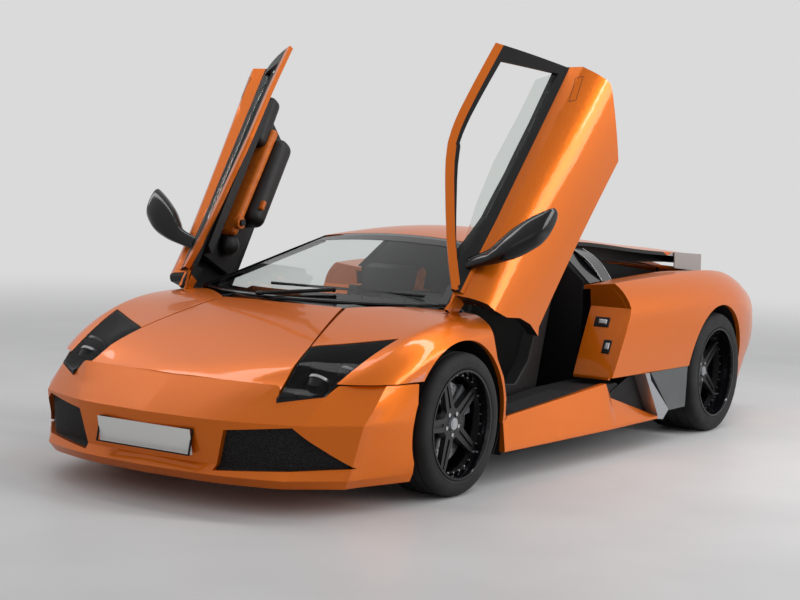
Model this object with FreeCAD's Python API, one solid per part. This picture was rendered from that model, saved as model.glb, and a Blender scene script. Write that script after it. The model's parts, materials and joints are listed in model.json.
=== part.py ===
import FreeCAD, Part
import math
import os
from FreeCAD import Vector

# Two-seat mid-engined sports car with upward-turning doors, stored with both doors raised.
# Millimetres. X = 0 is the car's centre plane, its left side is +X, it faces -Y, and Z = 0 is the ground.

# Overall places and panel thicknesses
FRONT_AXLE_Y = -1295.0
WHEELBASE = 2665.0
REAR_AXLE_Y = FRONT_AXLE_Y + WHEELBASE
SKIN = 22.0
SHUT_GAP = 6.0
SEAT_GAP = 0.3
SHEET = 12.0

# Wheels: tyre radius and width, outer face from the centre plane, rim radius, arch radius, depth of the spokes
FRONT_TYRE_R = 319.0
FRONT_TYRE_W = 245.0
FRONT_FACE_X = 968.0
FRONT_RIM_R = 238.0
FRONT_ARCH_R = 372.0
FRONT_DISH = 58.0
REAR_TYRE_R = 338.0
REAR_TYRE_W = 335.0
REAR_FACE_X = 1014.0
REAR_RIM_R = 246.0
REAR_ARCH_R = 386.0
REAR_DISH = 92.0
RIM_WALL = 9.0
SPOKE_COUNT = 5
SPOKE_ROOT_W = 66.0
SPOKE_TIP_W = 44.0
SPOKE_T = 26.0
HUB_FACE_R = 70.0
AXLE_R = 34.0
RUN_GAP = 0.05
DISC_R = 182.0
DISC_T = 30.0
DISC_BACK = 50.0
UPRIGHT_W = 56.0
UPRIGHT_H = 105.0
STEER_X = 800.0
REAR_UPRIGHT_X = 808.0
ARM_R = 12.0
WELL_INNER_X = 545.0
LINER_GAP = 12.0
LINER_WALL = 5.0

# Doors: hinge line, opening angle and the closed door's outline in side view
DOOR_OPEN_DEG = 51.5
HINGE_Y = -1180.0
HINGE_Z = 735.0
HINGE_X = 800.0
HINGE_LEAN_Y = 0.04
HINGE_LEAN_Z = -0.08
HINGE_PIN_R = 9.0
HINGE_ARM_X = 775.0
HINGE_ARM_T = 15.0
DOOR_WALL = 60.0
DOOR_FRONT_Y = -1035.0
DOOR_TIP_Z = 292.0
DOOR_BOTTOM_FRONT_Z = 322.0
DOOR_BOTTOM_REAR_Z = 386.0
DOOR_REAR_Y = 278.0
DOOR_REAR_Z = 752.0
DOOR_TOP_REAR_Y = 170.0
ARCH_STRIP = 28.0
FRAME_T = 26.0
GLASS_T = 5.0
TRIM_T = 55.0

# Tub
FLOOR_Z = 130.0
FLOOR_T = 14.0
CABIN_HALF_W = 690.0
SILL_X = 925.0
DASH_Y = -1010.0
REAR_WALL_Y = 262.0
WELL_WALL_X = 540.0
PAD_X = 600.0
PAD_DROP = 12.0
PAD_HALF = 40.0
JACK_PADS = ((PAD_X, -780.0), (PAD_X + 180.0, 480.0))
SEAT_X = 365.0
WHEEL_HUB_Y = -560.0
WHEEL_HUB_Z = 640.0
STEERING_R = 178.0
STEERING_TILT_DEG = 24.0
COLUMN_R = 18.0

# Lids
HOOD_REAR_Y = -1384.0
HOOD_HINGE = (120.0, -1384.0, 776.0)
LID_PIN_R = 3.5
POST_R = 6.0
POST_W = 12.0
ROOF_REAR_Y = 445.0
COVER_FRONT_Y = 478.0
COVER_REAR_Y = 1990.0
COVER_HALF_W = 340.0
COVER_HINGE = (240.0, 495.0, 1080.0)
FLAP_FRONT_Y = 486.0
FLAP_HINGE = (420.0, 500.0, 1061.5)
FLAP_RAISE_DEG = 3.4
SPOILER_FRONT_Y = 2010.0
SPOILER_REAR_Y = 2280.0
SPOILER_HALF_W = 585.0
SPOILER_HINGE = (300.0, 2035.0, 876.0)

# Lower body sections, half outline from the sill up over the shoulder to the middle:
# y, bottom z, bottom x, side x, side z, shoulder x, shoulder z, crest x, crest z, lid edge x, lid edge z, middle z
BODY = [
    (-2130, 120, 640, 665, 240, 715, 388, 600, 475, 400, 497, 503),
    (-1950, 125, 790, 825, 260, 868, 440, 770, 540, 520, 583, 590),
    (-1700, 125, 900, 928, 320, 940, 570, 835, 668, 500, 688, 692),
    (-1500, 125, 930, 953, 360, 955, 645, 850, 737, 470, 752, 762),
    (-1295, 125, 940, 962, 380, 962, 690, 855, 772, 560, 795, 808),
    (-1000, 125, 932, 956, 380, 952, 685, 860, 786, 680, 800, 830),
    (-600, 125, 925, 952, 380, 950, 665, 866, 815, 720, 818, 850),
    (-100, 125, 930, 965, 390, 974, 670, 880, 850, 720, 840, 868),
    (300, 125, 945, 982, 400, 992, 690, 892, 880, 720, 860, 878),
    (800, 130, 955, 1000, 400, 1016, 705, 902, 900, 700, 880, 890),
    (1370, 140, 955, 1012, 420, 1026, 722, 884, 912, 650, 892, 897),
    (1750, 165, 935, 985, 420, 1000, 700, 850, 888, 600, 875, 880),
    (2050, 220, 850, 912, 440, 925, 650, 790, 838, 560, 842, 848),
    (2305, 290, 770, 830, 470, 832, 610, 740, 782, 520, 795, 800),
]

# Nose outlines in plan, half width from the centre to the front wheel arch, one line per level:
# z, centre y, inner x, inner y, corner x, corner y, side x, side y, arch end x
NOSE = [
    (112, -2268, 350, -2256, 640, -2165, 820, -1990, 925),
    (150, -2299, 388, -2283, 662, -2187, 842, -2000, 940),
    (188, -2262, 395, -2246, 676, -2160, 848, -1988, 944),
    (377, -2299, 403, -2274, 722, -2140, 884, -1960, 955),
    (540, -2072, 560, -2060, 752, -1975, 900, -1795, 955),
]
NOSE_BACK_Y = -1645.0
BUMPER_TOP_Z = 536.0

# Plan outlines of the lid and lamp openings (x, y), left half
HOOD = [(0, -2106), (553, -2080), (484, -1790), (345, -1368), (0, HOOD_REAR_Y)]
LAMP = [(577, -2127), (742, -2025), (815, -1606), (487, -1790)]
INTAKE = [(403, 338), (683, 367), (860, 200), (357, 166)]

# Scuttle below the windscreen, one line per station: x, front y, front z, rear y, rear z
SCUTTLE = [(0, -1366, 795, -1325, 806), (350, -1358, 786, -1262, 806), (728, -1082, 782, -1042, 800)]

# Windscreen edges: half width, side y, side z, middle y, middle z
SCREEN_BASE = (745, -1048, 812, -1330, 806)
SCREEN_TOP = (478, -402, 1060, -414, 1096)

# Outer edge of the roof and windscreen in plan (x, y)
CANT = [(757, -1056), (672, -850), (582, -600), (506, -395), (506, ROOF_REAR_Y + 20)]

# Door window frame, one line per station: y, belt x, belt z, rail x, rail z
SIDE = [
    (DOOR_FRONT_Y, 800, 806, 778, 818),
    (-850, 800, 815, 684, 888),
    (-600, 800, 824, 594, 984),
    (-390, 802, 836, 518, 1060),
    (-100, 804, 852, 516, 1078),
    (REAR_WALL_Y - 6, 802, 868, 512, 1080),
]

# Roof and rear deck, one line per station: y, edge x, edge z, inner x, inner z, middle z
DECK = [
    (-400, 500, 1058, 470, 1066, 1096),
    (-100, 500, 1078, 470, 1087, 1133),
    (200, 500, 1078, 470, 1087, 1130),
    (ROOF_REAR_Y, 500, 1066, 470, 1075, 1110),
    (1000, 560, 1000, 530, 1006, 1046),
    (1600, 610, 918, 580, 926, 962),
    (2000, 620, 868, 590, 876, 902),
    (2290, 600, 806, 570, 812, 824),
]


def mirrored(shape):
    return shape.mirror(Vector(0, 0, 0), Vector(1, 0, 0))


def pair(shape):
    return Part.makeCompound([shape, mirrored(shape)])


def biggest(shape):
    return max(shape.Solids, key=lambda s: s.Volume)


def box(x0, x1, y0, y1, z0, z1):
    return Part.makeBox(x1 - x0, y1 - y0, z1 - z0, Vector(x0, y0, z0))


def prism(points, direction):
    """Solid swept from a closed outline of 3D points."""
    ring = [Vector(*p) for p in points]
    return Part.Face(Part.makePolygon(ring + [ring[0]])).extrude(Vector(*direction))


def side_prism(points, x0, x1):
    """Outline given as (y, z), swept across the car."""
    return prism([(x0, y, z) for y, z in points], (x1 - x0, 0, 0))


def plan_prism(points, z0=300.0, z1=1300.0):
    """Outline given as (x, y), swept upwards."""
    return prism([(x, y, z0) for x, y in points], (0, 0, z1 - z0))


def front_prism(points, y0, y1):
    """Outline given as (x, z), swept along the car."""
    return prism([(x, y0, z) for x, z in points], (0, y1 - y0, 0))


def both(half):
    """Closed outline from its left half, which starts and ends on the centre plane."""
    return list(half) + [(-x, y) for x, y in reversed(half) if x > 0]


def grown(points, gap):
    """Outline with every corner moved away from the middle by the gap."""
    cx = sum(p[0] for p in points) / len(points)
    cy = sum(p[1] for p in points) / len(points)
    out = []
    for x, y in points:
        d = math.hypot(x - cx, y - cy)
        out.append((x + (x - cx) / d * gap * 1.4, y + (y - cy) / d * gap * 1.4))
    return out


def cross_cylinder(y, z, r, x0, x1):
    return Part.makeCylinder(r, x1 - x0, Vector(x0, y, z), Vector(1, 0, 0))


def tube(a, b, r):
    a, b = Vector(*a), Vector(*b)
    return Part.makeCylinder(r, (b - a).Length, a, b - a)


def fused(shapes):
    out = shapes[0].fuse(shapes[1:]) if len(shapes) > 1 else shapes[0]
    return out.removeSplitter()


def both_sides(shapes):
    return list(shapes) + [mirrored(s) for s in shapes]


def body_wire(row, inset, drop):
    y, zb, xb, xs, zs, xw, zw, xt, zt, xh, zh, zc = row
    zb -= drop
    xb, xs, xw, xt = xb - inset, xs - inset, xw - inset, xt - inset
    zt, zh, zc = zt - inset, zh - inset, zc - inset
    bulge = 0.13
    mx = (xw + xt) / 2 + (zt - zw) * bulge
    mz = (zw + zt) / 2 + (xw - xt) * bulge

    def at(x, z):
        return Vector(x, y, z)

    return Part.Wire([
        Part.Arc(at(xb, zb), at(xs, zs), at(xw, zw)).toShape(),
        Part.Arc(at(xw, zw), at(mx, mz), at(xt, zt)).toShape(),
        Part.makeLine(at(xt, zt), at(xh, zh)),
        Part.Arc(at(xh, zh), at(0, zc), at(-xh, zh)).toShape(),
        Part.makeLine(at(-xh, zh), at(-xt, zt)),
        Part.Arc(at(-xt, zt), at(-mx, mz), at(-xw, zw)).toShape(),
        Part.Arc(at(-xw, zw), at(-xs, zs), at(-xb, zb)).toShape(),
        Part.makeLine(at(-xb, zb), at(xb, zb)),
    ])


def body_loft(inset, drop=0.0):
    """Lower body drawn in by the inset; the drop opens it downwards."""
    return Part.makeLoft([body_wire(row, inset, drop) for row in BODY], True, False)


def nose_loft(inset, floor_lift=0.0, top_lift=0.0, back_y=NOSE_BACK_Y):
    wires = []
    for k, row in enumerate(NOSE):
        z, y0, xi, yi, xc, yc, xs, ys, xe = row
        z += floor_lift if k == 0 else 0.0
        z += top_lift if k == len(NOSE) - 1 else 0.0
        half = [(xi - inset * 0.3, yi + inset), (xc - inset * 0.7, yc + inset * 0.8), (xs - inset, ys),
                (xe - inset, back_y)]
        ring = [Vector(0, y0 + inset, z)] + [Vector(x, y, z) for x, y in half]
        ring += [Vector(-x, y, z) for x, y in reversed(half)]
        wires.append(Part.makePolygon(ring + [ring[0]]))
    return Part.makeLoft(wires, True, True)


def side_band(t_out, t_in, lift=0.0):
    """Leaning band between the belt line and the roof rail, between two depths below its outer face."""
    wires = []
    for y, bx, bz, rx, rz in SIDE:
        n = math.hypot(rz - bz, bx - rx)
        nx, nz = (rz - bz) / n, (bx - rx) / n
        fx, fz = bx + nz * lift, bz - nx * lift
        mx, mz = (bx + rx) / 2 + nx * 0.03 * n, (bz + rz) / 2 + nz * 0.03 * n

        def at(x, z, t):
            return Vector(x + nx * t, y, z + nz * t)

        wires.append(Part.Wire([
            Part.Arc(at(fx, fz, t_out), at(mx, mz, t_out), at(rx, rz, t_out)).toShape(),
            Part.makeLine(at(rx, rz, t_out), at(rx, rz, t_in)),
            Part.Arc(at(rx, rz, t_in), at(mx, mz, t_in), at(fx, fz, t_in)).toShape(),
            Part.makeLine(at(fx, fz, t_in), at(fx, fz, t_out)),
        ]))
    return Part.makeLoft(wires, True, True)


def deck_loft(rows, thick):
    """Crowned panel over the roof or rear deck."""
    wires = []
    for y, xe, ze, xi, zi, zc in rows:

        def at(x, z):
            return Vector(x, y, z)

        wires.append(Part.Wire([
            Part.makeLine(at(xe, ze), at(xi, zi)),
            Part.Arc(at(xi, zi), at(0, zc), at(-xi, zi)).toShape(),
            Part.makeLine(at(-xi, zi), at(-xe, ze)),
            Part.makeLine(at(-xe, ze), at(-xe, ze - thick)),
            Part.makeLine(at(-xe, ze - thick), at(-xi, zi - thick)),
            Part.Arc(at(-xi, zi - thick), at(0, zc - thick), at(xi, zi - thick)).toShape(),
            Part.makeLine(at(xi, zi - thick), at(xe, ze - thick)),
            Part.makeLine(at(xe, ze - thick), at(xe, ze)),
        ]))
    return Part.makeLoft(wires, True, False)


def hinge_cut(place, front_room=0.0):
    """Room taken from a lid by its hinge: the pin's bore and a pocket for the post, longer in front where asked."""
    x, y, z = place
    bore = cross_cylinder(y, z, LID_PIN_R + RUN_GAP, x - 32, x + 32)
    room = POST_R + 2.5
    pocket = box(x - POST_W / 2 - 3, x + POST_W / 2 + 3, y - room - 3 - front_room, y + room + 3, z - 60, z
                 + room)
    return bore.fuse(pocket)


def hinge_post(place, base_z):
    """Post and pin that carry a lid."""
    x, y, z = place
    post = box(x - POST_W / 2, x + POST_W / 2, y - POST_R, y + POST_R, base_z, z)
    return post.fuse([cross_cylinder(y, z, POST_R, x - POST_W / 2, x + POST_W / 2),
                      cross_cylinder(y, z, LID_PIN_R, x - 30, x + 30)])


NODES = {}

# Body skin: the outer form less the same form drawn in by the panel thickness
OUTER = body_loft(0.0)
SHELL = OUTER.cut(body_loft(SKIN, 80.0))
INNER = body_loft(SKIN + SEAT_GAP, 80.0)
FRONT_ARCH = cross_cylinder(FRONT_AXLE_Y, FRONT_TYRE_R, FRONT_ARCH_R, 500, 1200)
REAR_ARCH = cross_cylinder(REAR_AXLE_Y, REAR_TYRE_R, REAR_ARCH_R, 500, 1200)


def arch_point(radius, z):
    return (FRONT_AXLE_Y + math.sqrt(radius ** 2 - (z - FRONT_TYRE_R) ** 2), z)


def door_outline(gap, top=900.0):
    """Closed door in side view; its front edge runs round the wheel arch."""
    edge = FRONT_ARCH_R + ARCH_STRIP - gap
    front = [arch_point(edge, z) for z in (DOOR_TIP_Z - gap, 400.0, 500.0, 590.0)]
    return front + [
        (DOOR_FRONT_Y - gap, 690.0),
        (DOOR_FRONT_Y - gap, HINGE_Z),
        (DOOR_FRONT_Y - gap - 15, HINGE_Z + 55),
        (DOOR_FRONT_Y - gap - 15, top),
        (DOOR_TOP_REAR_Y + 90 + gap, top),
        (DOOR_TOP_REAR_Y + 90 + gap, 862.0 + gap * 0.5),
        (DOOR_REAR_Y + gap, DOOR_REAR_Z),
        (DOOR_REAR_Y - 100.0 + gap, 548.0),
        (100.0 + gap, DOOR_BOTTOM_REAR_Z - gap),
        (-865.0, DOOR_BOTTOM_FRONT_Z - gap),
    ]


door_gap = side_prism(door_outline(SHUT_GAP, 1000.0), 560, 1200)

# Front bumper with its openings, grilles and blank plate
lid_edge = [(0, -2106), (557, -2084), (577, -2129), (744, -2028), (770, -1960), (770, -1600), (0, -1600)]
above_bumper = plan_prism(lid_edge, 430, 700)
front_arches = cross_cylinder(FRONT_AXLE_Y, FRONT_TYRE_R, FRONT_ARCH_R, -1200, 1200)
intake = front_prism(INTAKE, -2400, -1850)
NOSE_SOLID = nose_loft(0.0)
bumper = NOSE_SOLID.cut(nose_loft(SKIN, 18.0, 0.0, NOSE_BACK_Y + 60))
bumper = bumper.cut([above_bumper, mirrored(above_bumper), box(-1200, 1200, -2400, -1500,
                                                               BUMPER_TOP_Z - SHUT_GAP, 800), intake,
                     mirrored(intake), front_arches])
NODES["front_bumper"] = biggest(bumper)
behind = nose_loft(SKIN + SEAT_GAP, 19.0, 0.0, NOSE_BACK_Y + 60).common(front_prism(grown(INTAKE, 9.0),
        -2400, -1850))
grille = biggest(behind.cut(nose_loft(SKIN + 8.0, 12.0, 0.0, NOSE_BACK_Y + 90)))
side_back = side_prism([(120, 300), (440, 404), (470, 404), (640, 150), (600, 150)], SILL_X + SEAT_GAP,
                       SILL_X + 6)
plate = side_prism([(-2270, 219), (-2291, 327), (-2295, 326), (-2274, 218)], -260, 260)
bracket = side_prism([(-2272, 232), (-2288, 314), (-2235, 314), (-2235, 232)], -170,
                     170).cut(nose_loft(-SEAT_GAP))
NODES["number_plate"] = plate.fuse([s for s in bracket.Solids if s.BoundBox.YMin < -2262]).removeSplitter()

# Hood, lamps and fenders share the skin and part along their shut lines
hood_zone = plan_prism(both(HOOD))
hood_gap = plan_prism(both([(0, -2160), (563, -2160), (560, -2080), (491, -1788), (361, -1356),
                            (0, HOOD_REAR_Y + 8)]))
hood = biggest(SHELL.common(hood_zone))
lamp_zone = plan_prism(LAMP)
lamp_gap = plan_prism([(574, -2160), (745, -2160), (745, -2024), (818, -1602), (484, -1788), (572, -2110)])
lens = OUTER.cut(body_loft(6.0, 80.0)).common(lamp_zone)
NODES["headlamp_lenses"] = pair(biggest(lens))
pot = body_loft(6.0 + SEAT_GAP).cut(body_loft(110.0, 80.0)).common(lamp_zone)
hollow = body_loft(6.0).cut(body_loft(98.0, 80.0)).common(plan_prism(grown(LAMP, -10.0)))
NODES["headlamps"] = pair(biggest(pot.cut(hollow)))

scuttle_half = [(0, HOOD_REAR_Y + 16), (361, -1364), (764, -1060), (764, -300), (0, -300)]
scuttle_gap = plan_prism(both(scuttle_half))
hinge_slot = box(HINGE_ARM_X - 8, HINGE_ARM_X + HINGE_ARM_T + 8, HINGE_Y - 8, DOOR_FRONT_Y, 700, 900)
fender = SHELL.common(box(300, 1100, -2130, -880, 100, 1000))
fender = fender.cut([hood_gap, lamp_gap, scuttle_gap, FRONT_ARCH, door_gap, hinge_slot, NOSE_SOLID.common(
    box(0, 1200, -2400, -1600, 0, BUMPER_TOP_Z)), box(300, 1200, -2400, -1500, 0, BUMPER_TOP_Z),
    box(300, 1200, -1290, -860, 0, DOOR_TIP_Z - 6)])
NODES["front_fenders"] = pair(biggest(fender))

# Doors are drawn closed and then turned up about the hinge line
HINGE_AXIS = Vector(1, HINGE_LEAN_Y, HINGE_LEAN_Z)
HINGE_AT = Vector(HINGE_X, HINGE_Y, HINGE_Z)


def on_hinge(x):
    return HINGE_AT + HINGE_AXIS * (x - HINGE_X)


def hinge_rod(r, x0, x1):
    a, b = on_hinge(x0), on_hinge(x1)
    return Part.makeCylinder(r, (b - a).Length, a, b - a)


cant_gap = plan_prism([(x + SHUT_GAP, y) for x, y in CANT] + [(0, ROOF_REAR_Y + 20), (0, -1056)], 700, 1300)
low_door = OUTER.cut(body_loft(DOOR_WALL, 80.0)).common(side_prism(door_outline(0.0), 600, 1200))
low_door = biggest(low_door.cut([box(560, 790, -1100, 300, 690, 950), cant_gap]))
window = [(-905, 846), (-600, 952), (-372, 1030), (-100, 1044), (120, 1044), (200, 884), (-640, 838)]
frame = side_band(0.0, -FRAME_T, 34.0).cut([side_prism(window, 300, 1200), cant_gap])
frame = frame.common(side_prism([(DOOR_FRONT_Y, 760), (DOOR_FRONT_Y, 1200), (DOOR_TOP_REAR_Y, 1200),
                                 (REAR_WALL_Y - 6, 870),
                                 (REAR_WALL_Y - 6, 760)], 300, 1200))
arm_x1 = HINGE_ARM_X + HINGE_ARM_T
arm = side_prism([(HINGE_Y - 6, HINGE_Z - 13), (HINGE_Y - 6, HINGE_Z + 10), (-1040, 757), (-1000, 770),
                  (-960, 700),
                  (-1040, 700)], HINGE_ARM_X, arm_x1)
arm = arm.fuse([hinge_rod(HINGE_PIN_R + 5, HINGE_ARM_X - 1, arm_x1),
                box(HINGE_ARM_X, 850, -1034, -990, 700, 765)])
cover_strip = SHELL.common(box(HINGE_ARM_X - 2, arm_x1 + 2, HINGE_Y + 48, DOOR_FRONT_Y + 4, 700, 900))
door_shell = low_door.fuse([biggest(frame), arm.common(body_loft(3.0)), cover_strip])
door_shell = door_shell.cut(hinge_rod(HINGE_PIN_R + RUN_GAP, HINGE_ARM_X - 20, arm_x1
                                      + 20)).removeSplitter()
pane = [(-880, 835), (-600, 880), (-372, 905), (120, 925), (205, 884), (205, 830), (-640, 800)]
glass = side_band(-9.0, -9.0 - GLASS_T, 30.0).common(side_prism(pane, 300, 1200)).cut(door_shell)
trim = body_loft(DOOR_WALL + SEAT_GAP, 80.0).cut(body_loft(DOOR_WALL + TRIM_T, 80.0)).common(
    side_prism([(-800, 420), (-830, 560), (-860, 700), (-830, 760), (80, 790), (170, 740), (90, 470),
                (40, 430)], 770, 1200))
mirror_rows = [(800, -880, 812, 34, 26), (905, -850, 838, 36, 26), (945, -800, 848, 70, 50),
               (1050, -740, 862, 78, 56),
               (1142, -640, 868, 34, 28)]

def mirror_wire(x, y, z, half_d, half_h):
    ring = []
    for k in range(8):
        a = math.radians(22.5 + 45.0 * k)
        ring.append(Vector(x, y + half_d * math.cos(a), z + half_h * math.sin(a)))
    return Part.makePolygon(ring + [ring[0]])


mirror = Part.makeLoft([mirror_wire(*row) for row in mirror_rows], True, True).cut(door_shell)


def raised(shape):
    out = shape.copy()
    out.rotate(HINGE_AT, HINGE_AXIS, DOOR_OPEN_DEG)
    return out


CLOSED_DOOR = {"shell": biggest(door_shell), "glass": biggest(glass), "trim": biggest(trim),
               "mirror": biggest(mirror)}
for part_name, shape in CLOSED_DOOR.items():
    up = raised(shape)
    NODES["door_left_" + part_name] = up
    NODES["door_right_" + part_name] = mirrored(up)

# Windscreen on its scuttle, roof and pillars


def screen_arc(half_w, side_y, side_z, mid_y, mid_z):
    return Part.Arc(Vector(half_w, side_y, side_z), Vector(0, mid_y, mid_z),
                    Vector(-half_w, side_y, side_z)).toShape()


slope = Vector(0, SCREEN_TOP[3] - SCREEN_BASE[3], SCREEN_TOP[4] - SCREEN_BASE[4])
down = Vector(0, slope.z, -slope.y)
down.normalize()
screen = Part.makeRuledSurface(screen_arc(*SCREEN_BASE), screen_arc(*SCREEN_TOP)).extrude(down * GLASS_T)
NODES["windshield"] = screen.Solids[0] if screen.Solids else screen
roof = deck_loft(DECK[:4], 24.0)
pillar_rows = [(-1052, 745, 26), (-850, 660, 30), (-600, 569, 34), (-396, 494, 30)]
pillar_z = {-1052: 806, -850: 882, -600: 976, -396: 1050}
wires = []
for y, x, w in pillar_rows:
    z = pillar_z[y]
    wires.append(Part.makePolygon([Vector(x - w * 0.5, y, z - 22), Vector(x + 9, y, z - 30),
                                   Vector(x + 11, y, z + 4),
                                   Vector(x - w * 0.5, y, z + 16), Vector(x - w * 0.5, y, z - 22)]))
pillar = Part.makeLoft(wires, True, True)
screen_room = Part.makeRuledSurface(screen_arc(*SCREEN_BASE), screen_arc(*SCREEN_TOP))
screen_room.translate(down * -SEAT_GAP)
screen_room = screen_room.extrude(down * (GLASS_T + 2 * SEAT_GAP))
NODES["roof_frame"] = biggest(fused([roof, pillar, mirrored(pillar)]).cut(screen_room))
scuttle = []
for x, fy, fz, ry, rz in [(-r[0],) + r[1:] for r in reversed(SCUTTLE[1:])] + SCUTTLE:
    scuttle.append(Part.makePolygon([Vector(x, fy, fz), Vector(x, ry, rz), Vector(x, ry + 60, rz - 12),
                                     Vector(x, ry + 60, rz - 40),
                                     Vector(x, fy, fz - 34), Vector(x, fy, fz)]))
scuttle = Part.makeLoft(scuttle, True, True).cut([screen_room, NODES["roof_frame"], NODES["front_fenders"]])
NODES["cowl"] = biggest(scuttle)

# Rear deck parted into engine cover, raised side flaps and spoiler
deck = deck_loft(DECK[3:], 20.0)
cover = deck.common(box(-COVER_HALF_W, COVER_HALF_W, COVER_FRONT_Y, COVER_REAR_Y, 500, 1300))
louvres = []
for k in range(6):
    y = 640.0 + 190.0 * k
    louvres.append(side_prism([(y, 850), (y + 110, 850), (y + 40, 1150), (y - 70, 1150)], -COVER_HALF_W
                              + 45, COVER_HALF_W - 45))
cover = cover.cut(louvres)
cover = cover.cut(both_sides([hinge_cut(COVER_HINGE)]))
NODES["engine_cover"] = biggest(cover)
flap = biggest(deck.common(plan_prism([(COVER_HALF_W + 8, FLAP_FRONT_Y), (492, FLAP_FRONT_Y),
                                       (606, COVER_REAR_Y),
                                       (COVER_HALF_W + 8, COVER_REAR_Y)], 500, 1300)))
cheek = plan_prism([(584, 1640), (590, 1640), (606, COVER_REAR_Y), (600, COVER_REAR_Y)], 770, 1000).common(
    side_prism([(1640, 830), (1640, 925), (COVER_REAR_Y, 885), (COVER_REAR_Y, 780)], 500, 700))
flap = biggest(fused([flap, cheek]).cut(hinge_cut(FLAP_HINGE)))
flap.rotate(Vector(*FLAP_HINGE), Vector(1, 0, 0), FLAP_RAISE_DEG)
NODES["flap_left"] = flap
NODES["flap_right"] = mirrored(flap)
spoiler = deck.common(box(-SPOILER_HALF_W, SPOILER_HALF_W, SPOILER_FRONT_Y, SPOILER_REAR_Y, 500, 1300))
spoiler = spoiler.cut(both_sides([hinge_cut(SPOILER_HINGE, SPOILER_HINGE[1] - SPOILER_FRONT_Y)]))
NODES["spoiler"] = biggest(spoiler)

# Quarter panels, jambs, skirts, intake blades and the dark side panels
quarter = SHELL.common(plan_prism([(722, 60), (1100, 60), (1100, 1955), (640, 1955), (640, 1800),
                                   (690, 800)], 100, 1000))
quarter = quarter.cut([door_gap, REAR_ARCH, box(500, 1200, 60, 1010, 0, 405),
                       box(500, 1200, 950, REAR_AXLE_Y, 0, 300)])
NODES["quarter_panels"] = pair(biggest(quarter))
jamb = side_prism(door_outline(SHUT_GAP + 18.0, 870.0), 750, 1200).cut(
    side_prism(door_outline(SHUT_GAP, 1000.0), 700, 1200)).common(INNER)
jamb = jamb.common(box(750, 1200, 120, 400, 392, 866))
NODES["door_jambs"] = pair(biggest(jamb))
glass_rows = [(REAR_WALL_Y + 13, 742, 868, 512, 1072), (ROOF_REAR_Y + 30, 716, 873.8, 522, 1040)]
wires = [Part.makePolygon([Vector(bx, y, bz), Vector(rx, y, rz), Vector(rx - 5, y, rz - 5),
                           Vector(bx - 5, y, bz - 5),
                           Vector(bx, y, bz)]) for y, bx, bz, rx, rz in glass_rows]
NODES["quarter_glass"] = pair(Part.makeLoft(wires, True, True))
duct_rows = [(ROOF_REAR_Y + 31, 1009, 850, 690, 712, 866), (1934, 850, 762, 612, 622, 846)]
wires = [Part.makePolygon([Vector(352, y, z_in), Vector(352, y, zf), Vector(xw, y, zf), Vector(xw, y, zq),
                           Vector(xq, y, zq),
                           Vector(xq, y, zq - 8), Vector(xw + 6, y, zq - 8), Vector(xw + 6, y, zf - 8),
                           Vector(346, y, zf - 8), Vector(346, y, z_in), Vector(352, y, z_in)])
         for y, z_in, zf, xw, xq, zq in duct_rows]
NODES["side_ducts"] = pair(Part.makeLoft(wires, True, True).cut(NODES["quarter_panels"]))

skirt_rows = [(-906, 940, 955, 150, 283), (-896, 940, 955, 150, 284), (-865, 940, 957, 150, 312),
              (-500, 942, 975, 150, 336), (90, 955, 1000, 150, 378),
              (150, 955, 1000, 150, 300), (620, 960, 1003, 150, 172)]
wires = [Part.makePolygon([Vector(SILL_X + SEAT_GAP, y, z0), Vector(x_out, y, z0),
                           Vector(x_out, y, z0 + 14),
                           Vector(x_top, y, z1), Vector(SILL_X + SEAT_GAP, y, z1),
                           Vector(SILL_X + SEAT_GAP, y, z0)])
         for y, x_top, x_out, z0, z1 in skirt_rows]
NODES["side_skirts"] = pair(Part.makeLoft(wires, True, True))
NODES["intake_grilles"] = Part.makeCompound(both_sides([grille,
                                                        biggest(side_back.cut(NODES["side_skirts"]))]))
NODES["intake_blades"] = pair(side_prism([(450, 404), (500, 404), (524, 362), (760, 186), (693, 139),
                                          (622, 148), (622, 172)],
                                         SILL_X + 6.3, 1002))
lower = side_prism([(520, 404), (1010, 404), (985, 330), (975, 180), (770, 180)], 925, 1000)
NODES["quarter_lower"] = pair(biggest(lower.cut([REAR_ARCH, side_prism([(500, 405), (524.5, 362.5),
        (761, 186), (760, 150),
                                                                        (400, 150)], 900, 1100)])))

# Rear end
hollow_rear = body_loft(SKIN, 80.0).common(box(-1100, 1100, -2400, 2305.0 - SKIN, 0, 1200))
rear = OUTER.cut(hollow_rear).common(box(-1100, 1100, 1961, 2400, 100, 1000))
LAMP_BOX = (505.0, 755.0, 565.0, 675.0)
lamp_hole = box(LAMP_BOX[0], LAMP_BOX[1], 2200, 2400, LAMP_BOX[2], LAMP_BOX[3])
rear = rear.cut([box(-610, 610, 1900, SPOILER_REAR_Y + 8, 740, 1000), box(-450, 450, 2200, 2400, 440, 620),
                 REAR_ARCH,
                 mirrored(REAR_ARCH), lamp_hole, mirrored(lamp_hole), box(-110, 110, 2200, 2400, 0, 400)])
NODES["rear_bumper"] = biggest(rear)
wall_y = 2305.0 - SKIN - SEAT_GAP
x0, x1, z0, z1 = LAMP_BOX
lamp = box(x0 + 1, x1 - 1, wall_y - 4, 2300, z0 + 1, z1 - 1).fuse(box(x0 - 8, x1 + 8, wall_y - 12, wall_y,
        z0 - 8, z1 + 8))
NODES["tail_lamps"] = pair(lamp.removeSplitter())
bars = [box(-470, 470, wall_y - 12, wall_y, 430 + 40 * k, 438 + 40 * k) for k in range(6)]
bars += [box(x - 4, x + 4, wall_y - 12, wall_y, 430, 638) for x in range(-466, 470, 155)]
NODES["rear_grille"] = fused(bars)
fins = [box(-600, 600, 1940, 2285, 200, 212)]
fins += [box(x - 4, x + 4, 1940, 2290, 140, 206) for x in range(-500, 501, 200)]
NODES["diffuser"] = fused(fins)
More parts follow.
